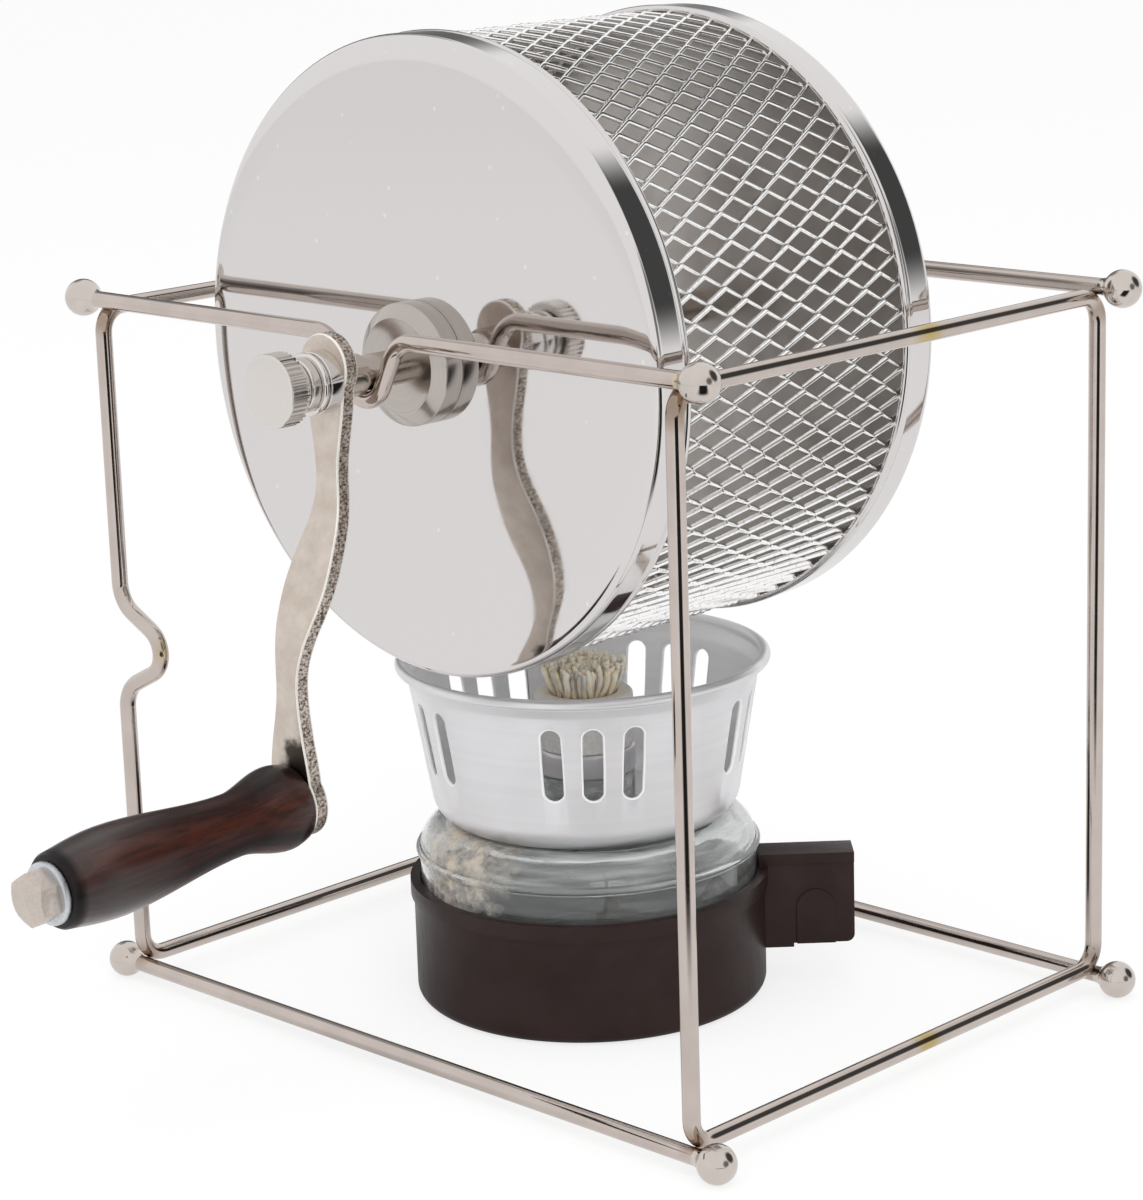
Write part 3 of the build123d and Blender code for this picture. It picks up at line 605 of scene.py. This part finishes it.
for side, inwards in (("left", 1), ("right", -1)):
    low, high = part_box(f"{side}_side_hoop")
    x = (low.x if inwards > 0 else high.x) / MM + inwards * wire_radius
    front, top, bottom = low.y / MM + wire_radius, high.z / MM - wire_radius, low.z / MM + wire_radius
    down, bends = [], []
    if side == "left":
        down = [
            (x, front, side_saddle_z + saddle_half),
            (x + saddle_point, front, side_saddle_z),
            (x, front, side_saddle_z - saddle_half),
        ]
        bends = saddle_bends
    up = [(x, -y, z) for x, y, z in reversed(down)]
    corners = [(x, 0, top), (x, front, top), *down, (x, front, bottom)]
    corners += [(x, -front, bottom), *up, (x, -front, top), (x, 0, top)]
    hoop = bent_wire(f"bent_{side}_hoop", corners, [hoop_bend, *bends, hoop_bend] * 2)
    place_piece(hoop, "stand", "nickel_wire", f"{side}_side_hoop")

for level in ("top", "bottom"):
    for end in ("front", "back"):
        low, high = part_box(f"{level}_{end}_rail")
        y, z, reach = (low.y + high.y) / 2 / MM, high.z / MM - wire_radius, high.x / MM
        dip, bends = [], []
        if level == "top":
            dip = [(-saddle_half, y, z), (0, y, z - saddle_point), (saddle_half, y, z)]
            bends = saddle_bends
        rail = bent_wire(f"bent_{level}_{end}_rail", [(-reach, y, z), *dip, (reach, y, z)], bends)
        place_piece(rail, "stand", "nickel_wire", f"{level}_{end}_rail")

# Balls on the rail ends, each with the braze that runs up from the rail
braze_length = 1.3
braze_swell = 0.12
braze_turn = 144
for node in ("top_balls", "foot_balls"):
    low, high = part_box(node)
    ball_radius = (high.z - low.z) / 2 / MM
    reach = high.x - ball_radius * MM
    outline = [(-ball_radius - braze_length, 0.0), (-ball_radius - braze_length, wire_radius)]
    outline += [(-ball_radius - 0.4 * braze_length, wire_radius + braze_swell)]
    outline += arc((0, 0), ball_radius, braze_turn, 0, 18)
    balls = [
        turned(f"{node}_ball", outline, Vector((side * reach, y, (low.z + high.z) / 2)), X * side, 40)
        for side in (-1, 1)
        for y in (low.y + ball_radius * MM, high.y - ball_radius * MM)
    ]
    piece = place_piece(join(*balls), "stand", "nickel_balls", node)
    piece.name = f"polished_{node}"

# End caps: one pressed sheet each, a flat panel that falls gently to a tight rim, and a hemmed skirt
shaft_radius = 4.0
panel_rise = 1.6
sheet = 0.8
rim_turn = 2.0
slope_width = 8.0
slope_angle = 7.0
slope_steps = 14
hem_radius = 0.9
inner_lean = 0.6
cap_low, cap_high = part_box("front_end_cap")
drum_radius = (cap_high.z - shaft_middle.z) / MM
skirt_width = (cap_high.y - cap_low.y) / MM - panel_rise
slope_fall = slope_width * tan(radians(slope_angle)) / 3
rim_middle = drum_radius - rim_turn
slope_start = rim_middle + rim_turn * sin(radians(slope_angle)) - slope_width
slope = [
    (slope_fall * (step / slope_steps) ** 3 - panel_rise, slope_start + slope_width * step / slope_steps)
    for step in range(slope_steps)
]
rim_fall = slope_fall - panel_rise + rim_turn * cos(radians(slope_angle))
rim_planes = {
    "front": (cap_low.y + panel_rise * MM, Y),
    "back": (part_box("back_end_cap")[1].y - panel_rise * MM, -Y),
}
for end, (rim_y, inwards) in rim_planes.items():
    lean, rim = 180 - slope_angle, (rim_fall, rim_middle)
    outline = [(-panel_rise, shaft_radius), (-panel_rise, 0.5 * slope_start)]
    outline += slope + arc(rim, rim_turn, lean, 90, 10)
    outline += [(rim_fall + 0.5, drum_radius), (skirt_width - 3.0 * hem_radius, drum_radius)]
    outline += [(skirt_width - 2.3 * hem_radius, drum_radius)]
    outline += arc((skirt_width - hem_radius, drum_radius - 0.75 * hem_radius), hem_radius, 150, -40, 12)
    outline += [(skirt_width - 2.2 * hem_radius, drum_radius - sheet)]
    outline += arc(rim, rim_turn - sheet, 90, lean, 6)
    outline += [(along + sheet, out) for along, out in reversed(slope)]
    outline += [(sheet - panel_rise, shaft_radius), outline[0]]
    cap = turned(f"pressed_{end}_cap", outline, on_shaft(rim_y), inwards, 160)
    give_finish(cap, finishes["polished_cap"], inside_sheet)
    for face in cap.data.polygons:
        outwards = face.center - on_shaft(face.center.y)
        looks_in = face.normal.dot(outwards.normalized()) < -inner_lean
        looks_back = face.normal.dot(inwards) > inner_lean and outwards.length < rim_middle * MM
        face.material_index = 1 if looks_in or looks_back else 0
    place_piece(cap, "drum", "polished_cap", f"{end}_end_cap")

# Collars that hold the drum on its shaft, bevelled towards the saddles
bevel_length = 2.2
bevel_depth = 3.0
for end, (rim_y, inwards) in rim_planes.items():
    low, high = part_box(f"{end}_collar")
    radius = (high.z - low.z) / 2 / MM
    length = (high.y - low.y) / MM
    back = on_shaft(rim_y) - inwards * panel_rise * MM
    corners = [(0, shaft_radius), (0, radius), (length - bevel_length, radius)]
    corners += [(length, radius - bevel_depth), (length, shaft_radius)]
    outline = rounded(corners, [0.3, 0.5, 0.35], 3) + [corners[0]]
    collar = turned(f"turned_{end}_collar", outline, back, -inwards, 96)
    place_piece(collar, "drum", "turned_steel", f"{end}_collar")

# Drum wall of expanded metal: strands zigzag along the drum and join their neighbours at bonds
diamonds_round = 69
diamond_length = 11.4
bond_length = 0.6
strand_width = 1.15
strand_thickness = 0.9
strand_tilt = radians(50)
strand_corner = 0.06
wall_gap = 0.05
wall_start = 0.9
strand_pitch = 2 * pi / (2 * diamonds_round)
swing_out = strand_width / 2 * sin(strand_tilt)
wall_radius = drum_radius - sheet - wall_gap - 2 * swing_out - strand_thickness / 2 * cos(strand_tilt)
swing_across = strand_pitch * wall_radius / 2 - strand_width / 2 * cos(strand_tilt)
wall_front = rim_planes["front"][0] + (rim_fall + wall_start) * MM
half_turns = 15
strands = []
for first_swing in (1, -1):
    swing = first_swing
    start = on_shaft(wall_front) + (Z * (wall_radius - swing * swing_out) + X * swing * swing_across) * MM
    strand = start_piece(
        "strand", bpy.ops.mesh.primitive_plane_add, size=MM, location=start, rotation=(pi / 2, -strand_tilt, 0)
    )
    bpy.ops.object.mode_set(mode="OBJECT")
    strand.scale = (strand_width, strand_thickness, 1)
    bpy.ops.object.transform_apply(location=True, rotation=True, scale=True)
    select_mesh()
    bpy.ops.mesh.bevel(offset=strand_corner * MM, affect="VERTICES")
    select_mesh()
    for _ in range(half_turns):
        extrude_by(Y * bond_length * MM)
        climb = Y * (diamond_length / 2 - bond_length) - (X * swing_across - Z * swing_out) * 2 * swing
        extrude_by(climb * MM)
        swing = -swing
    extrude_by(Y * bond_length * MM)
    close_seams()
    if first_swing < 0:
        select_mesh()
        bpy.ops.transform.rotate(
            value=strand_pitch, orient_axis="Y", orient_type="GLOBAL", center_override=on_shaft(0)
        )
    strands.append(finish_piece(strand, 50))
wall = join(*strands)
select_mesh()
copies = diamonds_round - 1
bpy.ops.mesh.spin(steps=copies, dupli=True, angle=2 * pi * copies / diamonds_round, center=on_shaft(0), axis=Y)
bpy.ops.object.mode_set(mode="OBJECT")
wall.name = "expanded_drum_wall"
place_piece(wall, "drum", "expanded_metal", "drum_mesh")

# Crank hub, a chromed bush pressed on the arm
hub_bore = 3.0
groove_width = 0.7
groove_depth = 0.8
groove_setback = 1.9
low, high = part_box("crank_hub")
hub_radius = (high.z - low.z) / 2 / MM
hub_length = (high.y - low.y) / MM
hub_groove = hub_length - groove_setback
corners = [
    (0, hub_bore),
    (0, hub_radius),
    (hub_groove, hub_radius),
    (hub_groove, hub_radius - groove_depth),
    (hub_groove + groove_width, hub_radius - groove_depth),
    (hub_groove + groove_width, hub_radius),
    (hub_length, hub_radius),
    (hub_length, hub_bore),
]
outline = rounded(corners, [0.15, 0.25, 0.1, 0.1, 0.3, 0.7], 5) + [corners[0]]
hub = turned("chromed_hub", outline, on_shaft(high.y), -Y, 64)
place_piece(hub, "drum", "chrome_hub", "crank_hub")

# Thumb screw: a knurled head with a pale face, a ringed neck and a stem
knurl_teeth = 38
knurl_depth = 0.6
knurl_length = 5.1
knurl_start = 0.4
face_thickness = 0.5
neck_radius = 6.1
stem_radius = 1.9
low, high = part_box("thumb_screw")
knurl_radius = (high.z - low.z) / 2 / MM
head_back = low.y + knurl_length * MM
head = start_piece(
    "knurled_head",
    bpy.ops.mesh.primitive_circle_add,
    vertices=4 * knurl_teeth,
    radius=knurl_radius * MM,
    location=on_shaft(head_back),
    rotation=(pi / 2, 0, 0),
)
bpy.ops.mesh.select_all(action="DESELECT")
mesh = bmesh.from_edit_mesh(head.data)
for number, vertex in enumerate(mesh.verts):
    vertex.select = number % 4 in (2, 3)
mesh.select_flush_mode()
bpy.ops.transform.resize(value=[1 - knurl_depth / knurl_radius] * 3, center_override=on_shaft(head_back))
select_mesh()
bpy.ops.mesh.edge_face_add()
extrude_by(-Y * (knurl_length - knurl_start) * MM)
close_seams()
finish_piece(head, 25)
screw_length = (high.y - head_back) / MM
neck_length = (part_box("crank_hub")[0].y - head_back) / MM - 0.1
groove = neck_radius - 0.7
ring = neck_radius + 0.3
ring_start, ring_end, neck_start = 0.6, 2.0, 2.6
corners = [
    (-knurl_length, 0),
    (-knurl_length, knurl_radius),
    (face_thickness - knurl_length, knurl_radius),
    (face_thickness - knurl_length, groove),
    (-ring_start, groove - 0.2),
    (-ring_start, groove),
    (ring_start, groove),
    (ring_start, ring),
    (ring_end, ring),
    (ring_end, groove),
    (neck_start, groove),
    (neck_start, neck_radius),
    (neck_length, neck_radius),
    (neck_length, stem_radius),
    (screw_length, stem_radius),
    (screw_length, 0),
]
outline = rounded(corners, [0.3, 0.1, 0, 0, 0, 0, 0.5, 0.5, 0, 0, 0.5, 0.4, 0, 0.4], 4)
neck = turned("ringed_neck", outline, on_shaft(head_back), Y, 64)
screw = join(head, neck)
screw.name = "knurled_thumb_screw"
give_finish(screw, smooth_knob)
place_piece(screw, "thumb", "turned_steel", "thumb_screw")

# Crank arm: stamped plate with softened corners; its sheared edges keep a rough face of their own
edge_slant = 0.2
corner_slant = 0.8
arm = bevelled_copy("stamped_arm", "crank_arm", 0.55)
give_finish(arm, finishes["stamped_nickel"], torn_steel, burnished_corner)
# The corner faces between the arm's face and its sheared edge get the painted highlight
for face in arm.data.polygons:
    slant = abs(face.normal.y)
    face.material_index = 1 if slant < edge_slant else 2 if slant < corner_slant else 0
place_piece(arm, "drum", "stamped_nickel", "crank_arm")

# Wooden grip, turned round the bolt
grip_length = 66.8
grip_start = 0.1
grip_bore = 3.1
profile = [(0, 8.8), (4.5, 9.8), (17.5, 7.2), (51.8, 10.1), (grip_length, 8.3)]
outline = [(0.0, grip_bore), (0.0, 8.3), (0.2, 8.65)]
outline += smooth(profile)[1:-2]
outline += [(grip_length - 0.9, 8.55), (grip_length - 0.25, 8.1), (grip_length, 7.4), (grip_length, grip_bore)]
grip = turned("turned_grip", outline + [outline[0]], grip_seat + grip_out * grip_start * MM, grip_out, 80)
place_piece(grip, "grip", "stained_wood", "wooden_grip")

# Washer, and the hexagon bolt that the grip turns on
washer_back = grip_start + grip_length + 0.1
washer_thickness = 1.6
washer_radius = 7.0
bolt_seat = washer_back + washer_thickness
bolt_radius = 3.0
head_height = 5.2
head_flats = 10.5
bolt_turn = radians(35)
corners = [(0, bolt_radius), (0, washer_radius), (washer_thickness, washer_radius), (washer_thickness, bolt_radius)]
outline = rounded(corners, [0.25, 0.4], 3) + [corners[0]]
washer = turned("flat_washer", outline, grip_seat + grip_out * washer_back * MM, grip_out, 64)
give_finish(washer, pale_zinc)
place_piece(washer, "drum", "zinc_bolt", "grip_washer")

head_corner = head_flats / 2 / cos(pi / 6)
hang = (grip_seat - shaft_middle).cross(grip_out).normalized()
facing = Matrix((hang, grip_out.cross(hang), grip_out)).transposed()
head = start_piece(
    "hexagon_head",
    bpy.ops.mesh.primitive_cylinder_add,
    vertices=6,
    radius=head_corner * MM,
    depth=head_height * MM,
    location=grip_seat + grip_out * (bolt_seat + head_height / 2) * MM,
    rotation=(facing @ Matrix.Rotation(bolt_turn + pi / 6, 3, "Z")).to_euler(),
)
finish_piece(head, 20)
chamfer_radius = 4.7
chamfer_fall = (head_corner - chamfer_radius) * tan(radians(28))
outline = [(-1, 0), (-1, head_corner + 1), (head_height - chamfer_fall, head_corner)]
outline += [(head_height, chamfer_radius), (head_height + 0.001, 0)]
cone = turned("chamfer_cone", outline, grip_seat + grip_out * bolt_seat * MM, grip_out, 72)
cut(head, cone, "INTERSECT")
apply_modifier(head, "BEVEL", width=0.12 * MM, segments=2, angle_limit=radians(25))
finish_piece(head, 20)
stem_start = -4.4
stem_end = bolt_seat + 0.5
corners = [(stem_start, 0), (stem_start, bolt_radius), (stem_end, bolt_radius), (stem_end, 0)]
stem = turned("bolt_stem", rounded(corners, [0.5, 0], 3), grip_seat, grip_out, 40)
bolt = join(head, stem)
bolt.name = "hexagon_bolt"
place_piece(bolt, "drum", "zinc_bolt", "grip_bolt")

# Lamp base with its handle, moulded with softened edges
base = bevelled_copy("moulded_base", "lamp_base", 0.5)
place_piece(base, "lamp", "brown_plastic", "lamp_base")

# Glass reservoir: thick pressed glass with a bead below its shoulder and a short neck
floor_z = 3.0
glass_radius = 41.3
glass_wall = 2.5
glass_top = 45.2
bead_z = bead_height / MM
bead_radius = 1.0
neck_out = 12.0
neck_in = 9.5
neck_z = 55.9
outside = rounded([(floor_z, 0), (floor_z, glass_radius), (bead_z - bead_radius, glass_radius)], [3.0], 5)
outside += arc((bead_z, glass_radius), bead_radius, 170, 10, 8)
corners = [
    (bead_z + bead_radius + 0.1, glass_radius),
    (glass_top, glass_radius),
    (glass_top, neck_out),
    (neck_z, neck_out),
    (neck_z, neck_in),
    (glass_top - glass_wall, neck_in),
    (glass_top - glass_wall, glass_radius - glass_wall),
    (floor_z + glass_wall, glass_radius - glass_wall),
    (floor_z + glass_wall, 0),
]
outside += rounded(corners, [7.9, 2.0, 0.6, 0.6, 1.5, 6.0, 2.5], 7)
glass = turned("pressed_reservoir", outside, lamp_middle, Z, 112)
place_piece(glass, "lamp", "clear_glass", "glass_reservoir")

# Burner collar, whose plug sits in the neck, and the ceramic wick holder on it
burner_top = 62.2
burner_radius = 12.3
burner_bore = 5.0
plug_z = neck_z - 5.0
plug_radius = neck_in - 0.2
corners = [(plug_z, burner_bore), (plug_z, plug_radius), (neck_z, plug_radius)]
corners += [(neck_z, burner_radius), (burner_top, burner_radius), (burner_top, burner_bore)]
burner = turned("spun_burner_collar", rounded(corners, [0.3, 0, 0.8, 1.0], 4) + [corners[0]], lamp_middle, Z, 80)
place_piece(burner, "lamp", "spun_aluminium", "burner_collar")

holder_top = holder_high.z / MM
holder_radius = 12.0
holder_bore = 8.0
corners = [(burner_top, holder_bore), (burner_top, holder_radius), (holder_top, holder_radius)]
corners += [(holder_top, holder_bore), (burner_top, holder_bore)]
holder = turned("ceramic_holder", rounded(corners, [0.5, 0.9, 0.7], 4), lamp_middle, Z, 80)
place_piece(holder, "lamp", "white_ceramic", "wick_holder")

# Wick: strands spread evenly in the holder, each routed by its distance from the axis, angle and height
wick_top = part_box("wick")[1].z / MM
strand_count = 170
golden_angle = 2.39996
root_depth = 3.0
chance = random.Random(7)
strands = []
for number in range(strand_count):
    share = sqrt((number + 0.5) / strand_count)
    angle = golden_angle * number
    lean = angle + chance.uniform(-0.12, 0.12)
    height = (wick_top - holder_top) * (1.0 - 0.16 * share**2) * chance.uniform(0.8, 1.0)
    reach = chance.uniform(0.9, 1.04)
    route = [
        (7.2 * share, angle, holder_top - root_depth),
        (7.5 * share, angle, holder_top),
        (8.7 * share * reach, lean, holder_top + 0.3 * height),
        (9.6 * share * reach, lean, holder_top + 0.6 * height),
        (10.1 * share * reach, lean + chance.uniform(-0.08, 0.08), holder_top + 0.85 * height),
        (10.2 * share * reach, lean + chance.uniform(-0.12, 0.12), holder_top + height),
    ]
    places = [lamp_middle + Vector((r * cos(turn), r * sin(turn), z)) * MM for r, turn, z in route]
    strand = start_piece(
        "wick_strand",
        bpy.ops.mesh.primitive_circle_add,
        vertices=6,
        radius=chance.uniform(0.6, 0.85) * MM,
        fill_type="NGON",
        location=places[0],
    )
    for here, there in zip(places, places[1:]):
        extrude_by(there - here)
    bpy.ops.transform.resize(value=(0.7, 0.7, 0.7), center_override=places[-1])
    close_seams()
    strands.append(finish_piece(strand, 80))
wick = join(*strands)
wick.name = "cotton_wick_strands"
place_piece(wick, "lamp", "cotton_wick", "wick")

# Windshield bowl: spun sheet with a rolled rim and five groups of three air slots
bowl_bottom = 36.6
bowl_mouth = 44.3
bowl_wall = 1.0
bowl_rim_z = 84.0
rim_radius = 1.3
lip_height = 4.0
lip_flare = 1.8
bowl_hole = 14.5
slot_length = 18.0
slot_width = 4.7
slot_z = 68.2
slot_step = radians(13.7)
slot_groups = 5
first_slot = radians(-43) - slot_step
cutter_start = 30
cutter_depth = 25
corners = [
    (glass_top, bowl_hole),
    (glass_top, bowl_bottom),
    (bowl_rim_z - lip_height, bowl_mouth - lip_flare),
    (bowl_rim_z - 1.1, bowl_mouth - 0.2),
]
outside = rounded(corners, [7.0, 3.5], 10)
outside += arc((bowl_rim_z, bowl_mouth), rim_radius, 140, -130, 14)
corners = [
    (bowl_rim_z - 1.6, bowl_mouth - bowl_wall - 0.3),
    (bowl_rim_z - lip_height, bowl_mouth - lip_flare - bowl_wall),
    (glass_top + bowl_wall, bowl_bottom - 0.8),
    (glass_top + bowl_wall, bowl_hole),
    (glass_top, bowl_hole),
]
outside += rounded(corners, [3.5, 6.0, 0], 10)
bowl = turned("spun_bowl", outside, lamp_middle, Z, 160)
slot_aim = Vector((cos(first_slot), sin(first_slot), 0))
cutter = start_piece(
    "slot_cutter",
    bpy.ops.mesh.primitive_circle_add,
    vertices=24,
    radius=slot_width / 2 * MM,
    fill_type="NGON",
    location=lamp_middle + slot_aim * cutter_start * MM + Z * slot_z * MM,
    rotation=(pi / 2, 0, first_slot + pi / 2),
)
bpy.ops.mesh.select_all(action="DESELECT")
mesh = bmesh.from_edit_mesh(cutter.data)
for side in (1, -1):
    for vertex in mesh.verts:
        vertex.select = vertex.co.y * side > 0.0001 * MM
    mesh.select_flush_mode()
    bpy.ops.transform.translate(value=Z * side * (slot_length - slot_width) / 2 * MM)
select_mesh()
extrude_by(slot_aim * cutter_depth * MM)
select_mesh()
bpy.ops.mesh.normals_make_consistent(inside=False)
bpy.ops.mesh.spin(steps=2, dupli=True, angle=-2 * slot_step, center=lamp_middle, axis=Z)
select_mesh()
copies = slot_groups - 1
bpy.ops.mesh.spin(steps=copies, dupli=True, angle=2 * pi * copies / slot_groups, center=lamp_middle, axis=Z)
finish_piece(cutter)
cut(bowl, cutter, "DIFFERENCE")
# The cut's vertices come in no fixed order, so they are sorted before the closest ones are merged
select_mesh()
bpy.ops.mesh.sort_elements(type="CURSOR_DISTANCE", elements={"VERT"})
bpy.ops.mesh.remove_doubles(threshold=0.12 * MM)
bpy.ops.object.mode_set(mode="OBJECT")
give_finish(bowl, finishes["spun_aluminium"], painted_slot_edge_highlight, bowl_inside)
# The bevels of the bowl's sharp edges, those round the slots among them, get the painted white highlight
apply_modifier(
    bowl, "BEVEL", width=0.48 * MM, segments=2, angle_limit=radians(50), material=1, use_clamp_overlap=False
)
finish_piece(bowl)
# Faces that look into the bowl get the inside finish, painted paler for the light that falls into it
for face in bowl.data.polygons:
    outwards = (face.center - lamp_middle) * Vector((1, 1, 0))
    if face.material_index == 0 and face.normal.dot(outwards) < 0:
        face.material_index = 2
place_piece(bowl, "lamp", "spun_aluminium", "windshield_bowl")

# Camera at the photograph's viewing angle
camera_azimuth = radians(44.70)
camera_tilt = radians(13.985)
camera_roll = radians(-1.83)
bpy.ops.object.camera_add(location=Vector((552.5, -568.2, 296.1)) * MM)
camera = bpy.context.object
camera.data.lens = 106.86
camera.data.sensor_width = 36.0
camera.data.sensor_fit = "HORIZONTAL"
facing = Matrix.Rotation(camera_azimuth, 3, "Z") @ Matrix.Rotation(pi / 2 - camera_tilt, 3, "X")
camera.rotation_euler = (facing @ Matrix.Rotation(camera_roll, 3, "Z")).to_euler()
camera.data.clip_start = 0.01
bpy.context.scene.camera = camera


def seen_rays(add):
    """Rays that the eye gets straight or by way of metal or glass, and those of the metal alone."""
    kinds = ("Camera", "Transmission", "Glossy")
    straight, by_glass, by_metal = [add("LightPath", output=f"Is {kind} Ray") for kind in kinds]
    seen = add("Math", (straight, by_metal), operation="MAXIMUM")
    return add("Math", (seen, by_glass), operation="MAXIMUM"), by_metal


# White paper floor: seen rays find it white apart from the object's soft shadow, and the metal
# also finds the dark room beyond the paper's front edge and the shade round the lamp; in metres
floor_size = 8.0
edge_aim = Vector((0.842, -0.485, 0.0)).normalized()
edge_start, edge_end = 0.2, 0.3
edge_spread, edge_blur = 0.34, 0.05
shade_start, shade_end = 0.05, 0.1
bpy.ops.object.select_all(action="DESELECT")
bpy.ops.mesh.primitive_plane_add(size=floor_size, location=(0, 0, 0))
floor = bpy.context.object
floor.name = "paper_floor"
floor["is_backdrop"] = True
paper = bpy.data.materials.new("white_paper")
add = node_adder(paper)
seen, by_metal = seen_rays(add)
lit = add("BsdfDiffuse", {"Color": grey(0.8)})
faint = add("BsdfDiffuse", {"Color": grey(0.3)})
spot = add("NewGeometry", output="Position")
ahead = add("VectorMath", (spot, edge_aim), "Value", operation="DOT_PRODUCT")
beside = add("VectorMath", (spot, edge_aim.cross(Z)), "Value", operation="DOT_PRODUCT")
beside = add("Math", (beside,), operation="ABSOLUTE")
past = add("MapRange", (ahead, edge_start, edge_end, 0.0, 1.0), **EASED)
spread = add("Math", (ahead, edge_spread), operation="MULTIPLY")
spread = add("Math", (spread, beside), operation="SUBTRACT")
within = add("MapRange", (spread, -edge_blur, edge_blur, 0.0, 1.0), **EASED)
dark = add("Math", (past, within), operation="MULTIPLY")
dark = add("Math", (dark, by_metal), operation="MULTIPLY")
from_lamp = add("VectorMath", (spot, lamp_middle), "Value", operation="DISTANCE")
shaded = add("MapRange", (from_lamp, shade_start, shade_end, 0.35, 0.92), **EASED)
pale = add("Mix", {FACTOR: by_metal, UNDER: grey(1.0), OVER: shaded}, **COLOURS)
glow = add("Emission", {"Color": pale, "Strength": 0.74})
white = add("AddShader", (faint, glow))
unlit = add("Emission", {"Color": grey(0.02)})
white = add("MixShader", (dark, white, unlit))
add("OutputMaterial", {"Surface": add("MixShader", (seen, lit, white))})
floor.data.materials.append(paper)

# Studio: an even pale room; glossy rays find a few soft dark gaps between its white panels, each with
# its direction, inner and outer angle in degrees and the brightness inside
studio_gaps = (
    ((0.57, 0.69, 0.45), 15, 29, 0.07),
    ((-0.72, 0.3, 0.62), 5, 15, 0.4),
    ((-0.75, 0.55, 0.25), 8, 24, 0.15),
    ((0.95, 0.1, 0.25), 8, 22, 0.2),
)
world = bpy.data.worlds.new("studio")
bpy.context.scene.world = world
add = node_adder(world)
seen, by_metal = seen_rays(add)
aim = add("TexCoord", output="Generated")
gaps = grey(1.0)
for direction, inner, outer, depth in studio_gaps:
    angle = add("VectorMath", (aim, Vector(direction).normalized()), "Value", operation="DOT_PRODUCT")
    fade = (angle, cos(radians(outer)), cos(radians(inner)), 1.0, depth)
    gap = add("MapRange", fade, **EASED)
    gaps = add("Mix", {FACTOR: 1.0, UNDER: gaps, OVER: gap}, **COLOURS, blend_type="MULTIPLY")
glossy = add("Mix", {FACTOR: by_metal, UNDER: grey(1.0), OVER: gaps}, **COLOURS)
room = add("Background", {"Color": grey(1.0), "Strength": 0.76})
view = add("Background", {"Color": glossy, "Strength": 1.0})
add("OutputWorld", {"Surface": add("MixShader", (seen, room, view))})

# Soft lamps: a large one overhead, a weak one at the camera's left and a low one at its right
lamp_target = Vector((0, 0, 0.1))
for name, place, size, watts in (
    ("overhead_softbox", Vector((0.5, -0.4, 1.6)), 1.4, 5.5),
    ("left_softbox", Vector((-1.1, -1.2, 0.9)), 1.0, 1.4),
    ("right_softbox", Vector((1.15, -0.75, 0.5)), 0.6, 5.0),
):
    bpy.ops.object.light_add(type="AREA", location=place)
    lamp = bpy.context.object
    lamp.name = name
    lamp.data.size = size
    lamp.data.energy = watts
    lamp.visible_glossy = False
    lamp.rotation_euler = (lamp_target - place).to_track_quat("-Z", "Y").to_euler()

bpy.context.scene.view_settings.view_transform = "Standard"

low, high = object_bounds()
